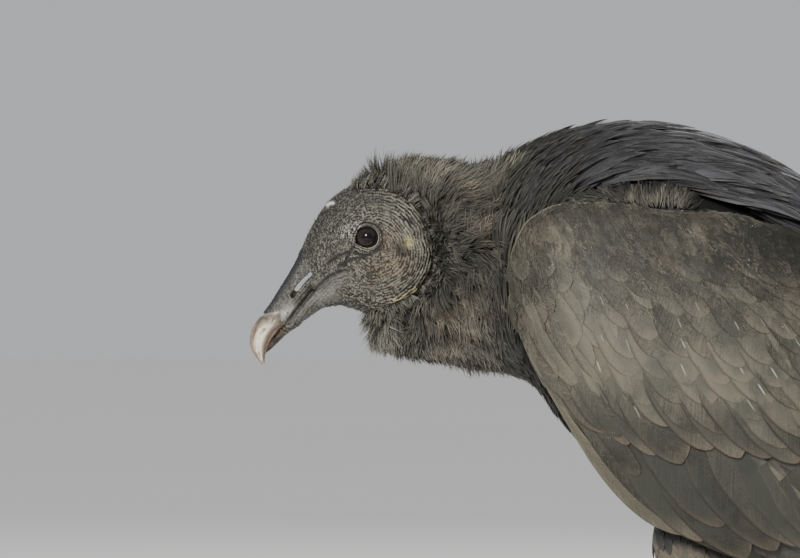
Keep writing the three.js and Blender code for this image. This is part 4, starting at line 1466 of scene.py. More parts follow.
def mantle(outer, surface):
    """Long narrow glossy feathers that sweep back over the shoulders and the back."""
    def keep(places):
        uv = to_drawing(places)
        return (above_back_line(uv) > 2 + 4 * noise(places, 9, 52)) & (uv[:, 0] > 500) & (uv[:, 0] < 945)

    parts = []
    for layer, (spacing, sink) in enumerate(((6.9, 9.0), (7.2, 6.0))):
        roots = scatter(surface, spacing, keep)
        count = len(roots)
        uv = to_drawing(roots)
        u = uv[:, 0]
        at = [500, 560, 640, 780, 940]
        length = np.interp(u, at, [30, 50, 70, 66, 50]) * rng.uniform(0.75, 1.2, count)
        wide = np.interp(u, at, [1.8, 3.4, 5.0, 6.2, 7.0]) * rng.uniform(0.55, 1.35, count)
        edge = ease(26, 4, above_back_line(uv)) * ease(590, 680, u) * ease(930, 860, u)
        lines, ups = lay(
            outer, roots, BODY_FLOW, length, 11, sink,
            rise=rng.normal(0.6, 1.3, count) + 3.2 * edge, yaw=rng.normal(0, 0.09, count), bend=1.6,
        )
        over = under_mantle(to_drawing(lines))
        clear = ~((over[:, 5] > 9) | (over[:, 8] > 10)) | (u > 840) | (np.abs(roots[:, 1]) < 15)
        lines, ups, wide, over = lines[clear], ups[clear], wide[clear], over[clear]
        count = len(lines)
        half = pointed(11, 0.5, 0.35, 1.5) * wide[:, None]
        half = half * (1 + 0.16 * uneven(np.arange(count), 11, 1.3, 53 + layer))
        u = drawn(lines[:, 0])[0]
        parts.append(vanes(
            lines, ups, half, PLAIN, camber=rng.uniform(0.3, 0.6, count)[:, None, None], thick=0.35,
            roll=rng.normal(0, 0.24, count), shade=ease(0.5, 3.5, over),
            tone=rng.random(count) * (0.15 + 0.85 * ease(530, 610, u)) - 0.2 * ease(690, 780, u),
        ))
    return parts


def clear_of_wing(lines):
    """Which feathers of the breast end before the wing's front edge."""
    tips, middles = to_drawing(lines[:, -1]), to_drawing(lines[:, lines.shape[1] // 2])
    over = in_outline(WING_EDGE, tips, -3.0) | in_outline(WING_EDGE, middles, -3.0)
    return ~(over & (tips[:, 1] > 236) & (tips[:, 0] < 640) & (np.abs(lines[:, -1, 1]) > 30))


WING_HIDES = [
    [560, 240], [700, 220], [860, 300], [960, 430], [1000, 560], [900, 620], [780, 545], [680, 500],
    [600, 440], [550, 370],
]


def in_box(uv, low, high):
    return ((uv > low) & (uv < high)).all(-1)


def body_feathers(coat_face, surface):
    """Short rounded feathers of the breast, belly, sides, rump and thighs."""
    def keep(places):
        uv = to_drawing(places)
        u, v = drawn(places)
        low = above_back_line(uv) < np.where((u > 535) & (u < 900), -34, 4)
        hidden = in_outline(WING_HIDES, uv) & (np.abs(places[:, 1]) > 26)
        return (low | (u > 900)) & ~hidden & ~((u < 550) & (v < 262)) & (u > 492)

    def thighs(places):
        return keep(places) & in_box(to_drawing(places), (640, 505), (740, 620))

    roots = np.concatenate([scatter(surface, 6.1, keep), scatter(surface, 5.0, thighs)])
    count = len(roots)
    u, v = drawn(roots)
    front, rear, low = ease(560, 510, u), ease(860, 960, u), ease(700, 745, v)
    leg = ease(500, 540, v) * ease(840, 800, u)
    length = (27 - 6 * front + 12 * rear - 7 * leg) * rng.uniform(0.85, 1.15, count)
    wide = (4.3 - 2.0 * front + 3.0 * rear - 1.2 * leg) * rng.uniform(0.85, 1.15, count)
    lines, ups = lay(
        coat_face, roots, BODY_FLOW, length, 7, 6.5 - 4.5 * low - 1.5 * front,
        rise=rng.normal(0.4, 0.5, count) * (1 - low) * (1 - leg),
        yaw=rng.normal(0, 0.13, count) * (1 - 0.5 * leg), bend=1.5,
    )
    clear = clear_of_wing(lines) & ~in_box(to_drawing(lines[:, -1]), (625, 512), (656, 548))
    lines, ups, wide, roots = lines[clear], ups[clear], wide[clear], roots[clear]
    u, v = drawn(roots)
    thigh = ease(495, 515, v) * ease(650, 600, v) * ease(600, 625, u) * ease(800, 760, u)
    wide = wide * (1 - 0.1 * thigh)
    shape, t = rounded(7, 0.5, 0.5)
    lines, ups = along_lines(lines, t), along_lines(ups, t)
    uv = to_drawing(lines)
    shade = np.maximum(wing_shade(uv), under_wing(uv))
    return [vanes(
        lines[run], ups[run], shape * wide[run][:, None], PLAIN, camber=0.35, thick=0.35,
        roll=rng.normal(0, 0.12, len(run)) * (1 - 0.6 * thigh[run]), tone=rng.random(len(run)),
        beige=thigh[run], shade=shade[run],
    ) for run in split(len(roots), BODY_RUN)]


def under_wing(uv):
    """1 in the deep shade close below the wing's lower edge."""
    return np.exp(-((gap_to(WING_EDGE[25:32], uv) / 6.5) ** 4)) * ease(800, 770, uv[..., 0])


def down_the_neck(uv):
    """The lie of the neck's base: up over the shoulder above the bend of the wing, down before it."""
    v = uv[..., 1] - 0.25 * (uv[..., 0] - 505)
    at = [150, 185, 215, 245, 262, 262.1, 300, 345, 385]
    turn = np.interp(v, at, [-45, -58, -66, -80, -90, 90, 84, 76, 66])
    return np.where(uv[..., 0] < 532, np.radians(turn), BODY_FLOW(uv))


def streaks(coat_face, surface):
    """Fine close feathers where the neck meets the body."""
    def keep(places):
        u = drawn(places)[0]
        return (u > 494 + 9 * noise(places, 8, 55)) & (u < 556)

    roots = scatter(surface, 2.8, keep)
    count = len(roots)
    lines, ups = lay(
        coat_face, roots, down_the_neck, rng.uniform(14, 25, count), 6, 4.0,
        rise=rng.normal(0.9, 0.5, count), yaw=rng.normal(0, 0.13, count),
    )
    clear = clear_of_wing(lines)
    lines, ups, roots = lines[clear], ups[clear], roots[clear]
    count = len(roots)
    half = pointed(6, 0.5, 0.3, 1.3) * rng.uniform(0.45, 1.0, count)[:, None]
    tone = rng.random(count) * 0.4 - 0.15 * ease(250, 225, drawn(roots)[1])
    return [vanes(
        lines[run], ups[run], half[run], SMALL, camber=0.4, thick=0.3, roll=rng.normal(0, 0.15, len(run)),
        tone=tone[run], beige=beige_at(roots[run]) * 0.1, shade=wing_shade(to_drawing(lines[run])),
    ) for run in split(count, STREAK_RUN)]


# ---------- the wing's feathers ----------

COVERT_FLOW = flow_of([
    [515, 300, 74], [530, 230, 74], [560, 205, 60], [560, 300, 68], [545, 380, 62], [600, 330, 70],
    [650, 340, 71], [700, 330, 66], [760, 340, 60], [620, 420, 63], [680, 430, 57], [740, 430, 55],
    [800, 430, 52], [600, 470, 58], [680, 520, 50], [740, 540, 47], [800, 540, 46], [640, 230, 58],
    [720, 230, 46], [800, 260, 42], [850, 350, 46], [900, 450, 50], [900, 560, 44], [980, 560, 50],
    [950, 660, 40], [1050, 700, 48], [1060, 760, 42],
], 40)
WING_EDGE = [
    [508.5, 271], [510, 254], [514.5, 240], [524, 221], [541, 207], [556, 200], [574, 197], [600, 196],
    [627, 199], [654, 203], [681, 206], [707, 206], [725, 206], [743, 210], [770, 219], [800, 230],
    [860, 268], [940, 370], [1010, 495], [1065, 630], [1100, 745], [1106, 806], [1085, 790], [1040, 757],
    [975, 710], [890, 647], [790, 580], [735, 556], [678, 531], [654, 523.5], [637.5, 511.5],
    [615.5, 493.5], [596.5, 473], [579.5, 450], [564, 423.5], [550, 396], [541, 378], [529, 353.5],
    [518, 327], [510, 299],
]


def in_outline(outline, uv, margin=0.0):
    """Whether places are inside an outline of the drawing, at least the margin from it."""
    outline = np.asarray(outline, float)
    u, v = uv.T
    hit = np.zeros(len(uv), bool)
    for (u0, v0), (u1, v1) in zip(outline, np.roll(outline, -1, 0)):
        crosses = (v0 > v) != (v1 > v)
        with np.errstate(divide="ignore", invalid="ignore"):
            hit ^= crosses & (u < (u1 - u0) * (v - v0) / (v1 - v0) + u0)
    gap = gap_to([*outline, outline[0]], uv)
    return np.where(hit, gap, -gap) > margin


def kept_inside(lines2, outline, margin):
    """Lines of the drawing cut short where they leave an outline on their way back to the root."""
    count, steps = lines2.shape[:2]
    outside = ~in_outline(outline, lines2.reshape(-1, 2), margin).reshape(count, steps)
    outside[:, -2:] = False
    last = np.where(outside.any(1), steps - 1 - np.argmax(outside[:, ::-1], 1), 0)
    start = last[:, None] / (steps - 1)
    place = (start + (1 - start) * np.linspace(0, 1, steps)) * (steps - 1)
    return part_way(lines2, np.arange(count)[:, None], place)[0]


def covert_rows():
    """The coverts row by row: tips, lengths, spacing, and how far down the wing they are."""
    rows, v, gap = [], 200.0, 6.5
    while v < 425:
        rows.append((v, gap))
        v += gap
        gap = min(gap * 1.11, 32)
    rows += [(v, 29) for v in BIG_ROWS]
    made = []
    for number, (v, gap) in enumerate(rows):
        tips, length = BIG_ROWS.get(v, ([], gap * 2.2 + 20))
        spacing = 29.0 if tips else min(max(gap * 1.28, 10.5), 29.0)
        u = (tips[-1][0] + spacing) if tips else 505 + spacing * (number % 2 * 0.5 + rng.uniform(0, 0.3))
        tips = list(tips)
        while u < 1000:
            drop = (0.03 if u < 800 else 0.03 + 0.0016 * (u - 800)) * (u - 650)
            tips.append([u + rng.normal(0, spacing * 0.07), v + drop + rng.normal(0, gap * 0.18)])
            u += spacing * rng.uniform(0.88, 1.12)
        made += [(*tip, length, spacing, number / len(rows)) for tip in tips]
    made = np.array(made)
    return made[:, :2], *made[:, 2:].T


BIG_ROWS = {  # height of a row of big coverts: places of its first tips, length
    446: ([[601, 425], [625, 437], [652, 447], [678, 455], [707, 441], [736, 449], [765, 449], [793, 454]],
          128),
    534: ([[698, 533], [719, 518], [743, 549], [772, 541], [799, 537]], 150),
}
# Where the wing's face turns in at its edge
TURNED_EDGE = WING_EDGE[-10:] + WING_EDGE[:20]


def turned_in(uv):
    """How far the wing's face lies in near its front and upper edge, in millimetres, and how far
    out over the bend in front (below 0)."""
    return 2.4 * (1 - ease(0, 9, gap_to(TURNED_EDGE, uv))) ** 2 - 3.0 * ease(585, 530, uv[..., 0])


def wing_base(sheet):
    """The close under layer of the wing's face, whose edges turn in."""
    outline = np.array(WING_EDGE, float)
    far = int(np.argmax(outline[:, 0]))
    upper, lower = outline[: far + 1], np.concatenate([outline[far:], outline[:1]])[::-1]
    rows, columns = 110, 44
    u = outline[0, 0] + 0.3 + (outline[far, 0] - outline[0, 0] - 0.6) * np.linspace(0, 1, rows) ** 1.5
    share = (1 - np.cos(np.linspace(0, math.pi, columns))) / 2
    top, bottom = (np.interp(u, *line.T)[:, None] for line in (upper, lower))
    v = top + (bottom - top) * share
    uv = np.stack([np.broadcast_to(u[:, None], v.shape), v], -1)
    level = -0.9 + 0.5 * ease(330, 260, v) - 1.6 * ease(385, 430, v)
    level = level - turned_in(uv) - 4.5 * ease(800, 860, uv[..., 0] + 0.6 * (v - 400))
    points = np.concatenate([sheet.points(uv, level - drop)[0].reshape(-1, 3) for drop in (0, 0.8)])
    grid = grid_faces(rows, columns, False)
    total = rows * columns
    number = np.arange(total).reshape(rows, columns)
    rim = np.concatenate([number[0], number[1:, -1], number[-1, -2::-1], number[-2:0:-1, 0]])
    after = np.roll(rim, -1)
    sides = np.stack([rim, after, after + total, rim + total], 1)
    quads = np.concatenate([grid[:, ::-1], grid + total, sides])
    quads, _ = outward(points, quads)
    uv = np.concatenate([uv.reshape(-1, 2)] * 2)
    flat = {"along": 0.5, "across": 0.0, "row": 0.3}
    masks = {name: np.full(len(points), value) for name, value in flat.items()} | {
        "tone": 0.5 + 0.3 * noise(uv, 9, 71), "barb": uv @ [0.3, 0.45],
        # painted highlight: a pale line along the wing's turned-in edge
        "zone": wing_zone(uv) + 0.9 * band(TURNED_EDGE, uv, 1.6)}
    return {"points": points, "quads": quads[:-4], "caps": quads[-4:], "masks": masks, "roots": points,
            "each": 1, "triangles": 2 * len(quads)}


FRONT_STRIP = [
    [500, 380], [566, 388], [590, 425], [611, 460], [635, 487], [668, 520], [694, 536], [690, 560],
    [560, 560],
]


def covert_vanes(sheet):
    """Rows of feathers over the wing: fine ones in its upper part, big ones below."""
    rows = covert_rows()
    tips, _, widths, _ = rows
    inside = in_outline(WING_EDGE, tips, np.where(widths < 18, 6.0, -6.0)) & ~in_outline(FRONT_STRIP, tips)
    parts = []
    for fine, steps, inset, widest, settled, broad, section, roll, shaft in (
        (True, 7, 4.0, (0.5, 0.5), 0.1, 0.68, SMALL, 0.0, 0.0),
        (False, 17, 1.0, (0.70, 0.42), 0.3, 0.84, BROAD, 0.03, 0.06),
    ):
        of_kind = inside & ((widths < 18) == fine)
        tip, length, width, order = (values[of_kind] for values in rows)
        count = len(tip)
        number = np.flatnonzero(of_kind[inside])
        short = 1 - 0.35 * ease(590, 540, tip[:, 0]) * ease(430, 400, tip[:, 1])
        lines2 = run_back(tip, length * short * rng.uniform(0.95, 1.05, count), steps, COVERT_FLOW)
        (shape, t), (near_shape, _) = (rounded(steps, 0.5, wide, 0.05, 0.62) for wide in widest)
        lines2 = along_lines(kept_inside(lines2, WING_EDGE, inset), t)
        big = ease(0.78, 0.92, order)
        rise = np.interp(width, [11, 20, 29], [0.05, 0.12, 0.25]) + 0.25 * big
        sink = (0.65 + 0.95 * big)[:, None]
        level = -sink + (sink + rise[:, None]) * np.linspace(0, 1, steps) ** 1.1
        level = level + (0.8 - 1.6 * order)[:, None] * settled
        level = level + rng.normal(0, 0.02, count)[:, None]
        lines, ups = sheet.points(lines2, level - turned_in(lines2))
        run = np.linalg.norm(lines[:, -1] - lines[:, 0], axis=1)
        wide = width * UNIT * broad * rng.uniform(0.82, 1.15, count)
        wide = np.minimum(wide, run * 0.27)[:, None]
        wavy = 1 + 0.04 * uneven(number * 3.1, steps, 1.7, 61)
        half = np.stack([shape * wide, near_shape * wide], -1) * wavy[..., None]
        parts.append(vanes(
            lines, ups, half, section, camber=0.02, thick=0.15,
            roll=roll + 0.06 * big + rng.normal(0, 0.006, count), shaft=shaft,
            tone=0.5 + (rng.random(count) - 0.5) * (0.75 + 0.25 * big), row=order,
            streak=(rng.random(count) < 0.45) * rng.uniform(0.4, 1, count),
            zone=wing_zone(to_drawing(lines)),
        ))
        if not fine:
            middle = ease(0.8, 0.7, order) * (tip[:, 0] < 960) > 0
            parts.append(loose_barbs(sheet, lines2[middle], level[middle], half[middle, :, 0]))
    return parts


def loose_barbs(sheet, lines2, level, half, each=12):
    """Loose barbs that blur the tips of feathers."""
    who = np.repeat(np.arange(len(lines2)), each)
    one = (len(who), 1)
    spine, i = part_way(lines2, who, rng.uniform(0.62, 0.97, len(who)) * (lines2.shape[1] - 1))
    heading = unit(lines2[who, i + 1] - lines2[who, i])
    side = np.stack([-heading[:, 1], heading[:, 0]], 1) * rng.choice([-1, 1], one)
    edge = spine + side * (half[who, i][:, None] / UNIT) * rng.uniform(0.3, 1.0, one)
    ahead = unit(heading + side * rng.uniform(0.1, 0.7, one))
    span = rng.uniform(6, 11, one)
    barb = np.stack([edge - ahead * span * 0.6, edge, edge + ahead * span * 0.4], 1)
    height = level[who, i][:, None] + np.array([0.02, 0.10, -0.05])
    lines, ups = sheet.points(barb, height - turned_in(barb))
    return vanes(lines, ups, BARB * rng.uniform(0.7, 1.3, one), BLADE, camber=0.05,
                 tone=rng.uniform(0.3, 0.7, len(who)), row=0.2, zone=wing_zone(barb))


def edge_feathers(sheet):
    """Small feathers that wrap the wing's front edge."""
    edge = smooth_line([[509, 262], [509, 290], [518, 325], [531, 358]], 26)
    ahead = unit(np.gradient(edge, axis=0))
    inward = np.stack([ahead[:, 1], -ahead[:, 0]], 1)
    t = np.linspace(0, 1, 7)
    shape, shares = rounded(7, 0.5, 0.5)
    parts = []
    for row, (shift, long) in enumerate(((4, 13), (9, 14))):
        tips = edge + inward * (shift + rng.normal(0, 1.5, len(edge)))[:, None]
        back = tips[:, None] - (ahead * long)[:, None] * (1 - t)[None, :, None]
        back = back + inward[:, None] * (5.0 * (1 - t) ** 2)[None, :, None]
        lines, ups = sheet.points(back, -1.6 + 1.6 * t + 0.1 * row - turned_in(back))
        lines, ups = along_lines(lines, shares), along_lines(ups, shares)
        parts.append(vanes(lines, ups, shape * 2.6, SMALL, camber=0.06, thick=0.15, roll=0.03,
                           tone=rng.random(len(edge)), row=0.5, zone=wing_zone(to_drawing(lines))))
    return parts


def front_feathers(sheet):
    """Long narrow feathers along the front margin, below the bend of the wing."""
    shape, t = rounded(26, 0.35, 0.7, 0.05)
    parts = []
    for line, half, level, tone in FRONT_FEATHERS:
        uv = along_lines(smooth_line(line, 60)[None], t)
        lines, ups = sheet.points(uv, level - 0.8 + 0.8 * t + 3.0 * ease(585, 530, uv[..., 0]))
        parts.append(vanes(lines, ups, shape * half, BROAD, camber=0.12, thick=0.3, roll=0.05, shaft=0.15,
                           tone=tone, row=0.5, zone=wing_zone(to_drawing(lines)) + 0.05,
                           beige=0.45 * (tone > 1)))
    return parts


def coverts(sheet):
    """All the small feathers of a wing's outer face."""
    return [wing_base(sheet), *covert_vanes(sheet), *edge_feathers(sheet), *front_feathers(sheet),
            *wing_down(sheet), *edge_barbs(sheet)]


FRONT_FEATHERS = [  # line of the drawing, half width, level, tone
    ([[549, 384], [570, 421], [593.5, 455], [621, 486], [650, 510], [682, 526]], 5.4, -0.9, 1.1),
    ([[548, 345], [566, 388], [594, 435], [630, 478], [664, 510]], 4.6, -0.5, 0.45),
    ([[550, 318], [566, 362], [590, 406], [616, 442], [636, 468]], 5.0, -0.1, 0.4),
    ([[526, 318], [537, 346], [552, 372], [569, 392]], 4.0, 0.7, 0.25),
    ([[530, 285], [539, 320], [554, 352], [574, 378]], 4.4, 0.5, 0.6),
    ([[545, 290], [556, 328], [574, 368], [598, 402], [618, 428]], 5.4, 0.4, 0.2),
]


def wing_zone(uv):
    """How pale the wing is from place to place: palest in a band across its middle."""
    u, v = np.moveaxis(uv, -1, 0)
    middle = 358 + 0.10 * (u - 650)
    zone = hill(v, middle, np.where(v < middle, 66.0, 62.0)) * ease(490, 575, u)
    # painted highlights: pale spots high on the wing's face
    for spot_u, spot_v, radius in ((550, 230, 9), (555, 251, 9), (594, 292, 14), (690, 232, 12)):
        zone = np.maximum(zone, 0.6 * hill(np.hypot(u - spot_u, v - spot_v), 0, radius))
    # painted shade: the upper rear of the wing, below the mantle's edge, is darker
    zone = zone - 0.4 * hill(u, 770, 75) * hill(v, 236, 30)
    zone = zone - 0.3 * hill(v, 425, 22) * ease(580, 640, u)
    return zone + 0.3 * ease(545, 520, u) * ease(330, 300, v)


def wing_down(sheet, most=17500, along_rim=700):
    """Fine loose barbs over the small feathers, which make them look like velvet."""
    top = WING_EDGE[:16]
    places = rng.uniform([505, 196], [960, 370], (most, 2))
    fade = ease(352, 240, places[:, 1] - 0.12 * (places[:, 0] - 650)) ** 1.3
    places = places[in_outline(WING_EDGE, places, 3.5) & (rng.random(len(places)) < fade)]
    rim = smooth_line(top, along_rim) + [0, 1.5] + rng.uniform(0, 7, (along_rim, 1)) * [0.25, 1]
    rim = rim[in_outline(WING_EDGE, rim, 2.5)]
    places = np.concatenate([places, rim])
    count = len(places)
    u, v = places.T
    lengths = rng.uniform(5, 10, count)
    spread = rng.normal(0, 0.28, count)
    steps = 200
    number = (along_line(top, rim)[1] * (steps - 1)).astype(int)
    ahead = unit(np.gradient(smooth_line(top, steps), axis=0))[number]
    spread[-len(rim):] = (
        rng.normal(-0.12, 0.1, len(rim)) + np.arctan2(ahead[:, 1], ahead[:, 0]) - COVERT_FLOW(rim))
    lines2 = run_back(places, lengths, 5, lambda uv: COVERT_FLOW(uv) + spread)
    lines2 = kept_inside(lines2, WING_EDGE, 1.5)[:, ::2]
    level = np.array([-0.35, 0.10, 0.04]) + rng.normal(0.0, 0.03, (count, 1))
    level = level + 0.3 * (ease(600, 570, u) * ease(330, 280, v))[:, None]
    turn = turned_in(lines2)
    lines, ups = sheet.points(lines2, level - turn + 0.1 * np.maximum(turn, 0))
    half = np.array([0.20, 0.28, 0.04]) * rng.uniform(0.7, 1.4, (count, 1))
    scallops = noise(np.stack([places @ [0.55, 0.83] / 15.0, places @ [0.83, -0.55] / 3.6], -1), 1.0, 72)
    # painted shade: the velvet at the upper rear of the wing is darker
    upper_rear_shade = ease(670, 740, u) * ease(300, 250, v)
    tone = np.clip(0.46 + (0.48 + 0.4 * upper_rear_shade) * scallops - 0.3 * upper_rear_shade + rng.normal(0, 0.06, count), -0.5, 1)
    return [vanes(lines, ups, half, BLADE, camber=0.05, tone=tone, row=0.2,
                  zone=wing_zone(to_drawing(lines)) + 0.05)]


def edge_barbs(sheet, count=600):
    """A thin pale line of barbs along the very edge of the wing."""
    line = smooth_line(WING_EDGE[-4:] + WING_EDGE[:11], count)
    ahead = unit(np.gradient(line, axis=0))
    inward = np.stack([-ahead[:, 1], ahead[:, 0]], 1)
    t = np.linspace(-1, 1, 4)[None, :, None]
    reach = rng.uniform(3, 6, (count, 1, 1))
    inset = rng.uniform(0.6, 1.8, (count, 1, 1))
    lines2 = line[:, None] + ahead[:, None] * t * reach + inward[:, None] * inset
    front = 0.4 * ease(560, 530, line[:, :1])
    lines, ups = sheet.points(lines2, front - 0.1 - turned_in(lines2) + rng.normal(0, 0.05, (count, 1)))
    # painted highlight: the barbs along the very edge are pale
    return [vanes(lines, ups, np.array([0.1, 0.24, 0.24, 0.05]), BLADE, camber=0.1, tone=rng.random(count),
                  row=0.2, zone=1.1)]


def remiges(sheet, which):
    """The big feathers of the folded wing, from its lower edge up. Their roots and tips are shares
    along and across the wing."""
    k = np.linspace(0, 1, 17 if which == "secondaries" else 10)
    if which == "secondaries":
        tip = np.stack([0.80 - 0.05 * k + 0.012 * np.sin(k * 40), 0.93 - 0.86 * k], 1)
        root = np.stack([0.36 + 0.05 * k, 0.93 - 0.80 * k**0.9], 1)
        wide = np.interp(k, [0, 0.5, 1], [10.5, 12.0, 11.0])
        level = -2.6 + 2.6 * k
    else:
        tip = np.stack([np.interp(k, [0, 0.3, 0.6, 1], [0.985, 1.0, 0.965, 0.87]),
                        np.interp(k, [0, 0.5, 1], [0.82, 0.5, 0.30])], 1)
        root = np.stack([0.60 - 0.04 * k, 0.97 - 0.30 * k], 1)
        wide = np.interp(k, [0, 0.3, 1], [8.0, 9.5, 11.0])
        level = -4.2 + 1.6 * k
    steps = 32
    rise = np.linspace(0, 1, steps)
    way = root[:, None] * (1 - rise[:, None]) + tip[:, None] * rise[:, None]
    shape, t = rounded(steps, 0.55, 0.8, 0.05)
    uv = along_lines(to_drawing(wing_places(way[..., 0], way[..., 1])), t)
    lines, ups = sheet.points(uv, level[:, None] - 1.6 * (1 - rise))
    half = shape * wide[:, None]
    frayed = 1 - 0.10 * np.clip(uneven(np.arange(len(k)) * 7.7, steps, 1.4, 63), 0, 1) * rise
    half = np.stack([half * frayed, half * (2 - frayed) * 0.97], -1)
    return [vanes(lines, ups, half, BROAD, camber=0.10, thick=0.45, roll=0.09, shaft=0.3,
                  tone=rng.random(len(k)), row=1.0)]


def tail_feathers():
    """Twelve feathers in a slight fan, the middle pair on top."""
    base, tip = np.array([112.0, 157.0]), np.array([232.0, 16.0])
    ahead = unit(tip - base)
    up = np.array([-ahead[1], 0, ahead[0]])
    shape, t = rounded(32, 0.5, 0.86, 0.08)
    x, z = (base + (tip - base) * t[:, None]).T
    k = (np.arange(6) + 0.5) / 6
    parts = []
    for _, side in SIDES:
        y = (side * k * 23.0)[:, None] * (0.42 + 0.58 * t)
        points = np.stack(np.broadcast_arrays(x, y, z), -1)
        start = points[:, :1]
        points = start + (points - start) * (1 - 0.035 * k[:, None, None] ** 2)
        points = points + up * ((2.5 - 5.5 * k)[:, None] - 3.0 * (1 - t))[..., None]
        ups = np.broadcast_to(unit(up + np.array([0, 0.25, 0]) * side), points.shape)
        parts.append(vanes(points, ups, shape * 10.0, BROAD, camber=0.12, thick=0.5, shaft=0.3,
                           tone=rng.random(6), row=1.0))
    return parts


# ---------- paints of the coat ----------

def wing_layers(p, colour, place, along, across, tone, fine):
    """The colours of the wing's feathers over their ground, with painted shadow lines along their edges, and
    how far their edges are worn.
    """
    zone, row = p.mask("zone"), p.mask("row")
    big = row.between(0.8, 0.9)
    patches = p.noise(place, 52, 4)
    # painted shadow: a dark line along each feather's edge at across 1, where it overlaps the one beneath
    seam_shadow = across.between(0.84, 0.97) * (0.55 - zone * 0.08) + across.between(0.91, 0.96) * big * 0.75
    body = along.between(0.95, 0.72).least(across.between(-0.9, -0.2))
    worn_tip = along.between(0.90, 0.98) * big * fine.between(0.3, 0.7) * tone.between(0.15, 0.6)
    rim = (1 - across).between(0.5, 0.1) * 0.35 + (-1 - across).between(-0.45, 0.0) * 0.6
    middle = abs(across).between(0.8, 0.2) * along.between(0.98, 0.75) * (1 - big) * row.between(0.3, 0.45)
    streak = abs(across).between(0.06, 0.01) * along.between(0.70, 0.76) * along.between(0.9, 0.84)
    flecks = p.noise(place, 1500, 0).between(0.80, 0.86) * p.noise(place, 75, 1).between(0.5, 0.62)
    green = patches.between(0.48, 0.36) * (0.3 + row.between(0.3, 0.5) * 0.3 - zone * 0.1)
    colour = p.layers(
        colour,
        (patches.between(0.52, 0.66) * (zone * 0.5 + 0.12), (0.155, 0.130, 0.096)),
        (green, (0.045, 0.047, 0.038)),
        (seam_shadow * row.between(0.22, 0.3) * along.between(0.25, 0.5), (0.010, 0.009, 0.008)),
        (body * big * (0.25 + tone * 0.65), (0.026, 0.028, 0.023)),
        (worn_tip * 0.75, (0.110, 0.068, 0.050)),
        (rim * big * along.between(0.5, 0.9) * 0.65, (0.120, 0.094, 0.070)),
        (middle * tone.between(0.3, 0.9) * 0.6, (0.046, 0.047, 0.040)),
        (streak * p.mask("streak") * zone * 0.9, (0.45, 0.44, 0.40)),
        (flecks * row.between(0.6, 0.5), (0.42, 0.41, 0.38)),
    )
    return colour, row.between(0.22, 0.3) * (0.45 + big * 0.55)


def feather_paint(name, dark, pale, tip, gloss, worn=0.5, mottle=0.45, zoned=0.0, strands=0.0):
    """Feather colour: mottled from feather to feather, with fine barbs, a shaft and worn edges."""
    p = Paint(name, Specular_IOR_Level=0.35)
    along, across, tone = p.mask("along"), p.mask("across"), p.mask("tone")
    place = p.place()
    broad, fine, grain = p.noise(place, 30, 3), p.noise(place, 420, 3), p.noise(place, 1000, 2)
    threads = p.noise(p.vector(p.mask("barb") * 1.5, across * 0.7, tone * 90), 1.0, 3)
    if strands:
        long = p.noise(p.vector(across * 4.2, along * 2.2, tone * 90), 1.7, 4)
        threads = threads * (1 - strands) + long.between(0.36, 0.64) * strands
    lift = tone * mottle + broad * 0.6 + threads.between(0.25, 0.75, "LINEAR") * 0.4 - 0.1 - mottle * 0.3
    lift = lift + (grain - 0.5) * 0.5
    if zoned:
        lift = lift + p.mask("zone") * zoned + p.mask("row").between(0.85, 0.94) * 0.15 - 0.17
    colour = p.mix(lift.between(0.1, 1.0), dark, pale)
    if strands:
        colour = p.mix(long.between(0.47, 0.36) * strands * 0.7, colour, dark)
    edge = abs(across).between(0.72, 1.0) * 0.35 + along.between(0.84, 1.0) * 0.8
    if zoned:
        colour, wear = wing_layers(p, colour, place, along, across, tone, fine)
        edge = edge * wear
    light = p.mix(threads.between(0.3, 0.7), (0.105, 0.089, 0.062), (0.190, 0.162, 0.112))
    colour = p.layers(colour, (edge * (fine * 1.1) * worn, tip), (p.mask("beige") * 0.85, light),
                      (p.mask("shade"), (0.003, 0.003, 0.003)))
    return p.set(Base_Color=colour, Roughness=0.62 - gloss * 0.3 + threads * 0.14,
                 Normal=p.bump(threads * 0.7 + fine * 0.3, 0.0004, 0.5))


def ruff_paint():
    p = Paint("ruff", Roughness=0.8, Specular_IOR_Level=0.25)
    along, tone, broad = p.mask("along"), p.mask("tone"), p.noise(p.place(), 60, 3)
    lift = (tone * 0.8 + broad * 0.5 - 0.15 + along * 0.15).between(0.2, 0.95)
    rust = p.mix(broad.between(0.4, 0.6), (0.16, 0.118, 0.085), (0.37, 0.33, 0.265))
    return p.set(Base_Color=p.layers(
        p.mix(lift, (0.024, 0.0235, 0.0200), (0.134, 0.131, 0.108)),
        # pale where the tone runs high, as on the tufts lightened as painted light in shade
        (tone.between(0.75, 1.2), (0.23, 0.225, 0.19)),
        (p.mask("beige") * along.between(0.1, 0.8) * 0.75, rust),
        (along.between(0.75, 1.0) * (0.22 + p.mask("fringe") * 0.4), (0.26, 0.25, 0.22)),
        (p.mask("shade"), (0.003, 0.003, 0.003)),
    ))


def claw_paint():
    p = Paint("claw", Coat_Weight=0.2)
    grain = p.noise(p.place(), 700, 3)
    colour = p.mix(grain, (0.012, 0.012, 0.013), (0.035, 0.033, 0.031))
    colour = p.mix(p.mask("t").between(0.6, 1.0) * 0.5, colour, (0.07, 0.06, 0.05))
    return p.set(Base_Color=colour, Roughness=0.3 + grain * 0.2, Normal=p.bump(grain, 0.0003, 0.3))


# ---------- making ----------

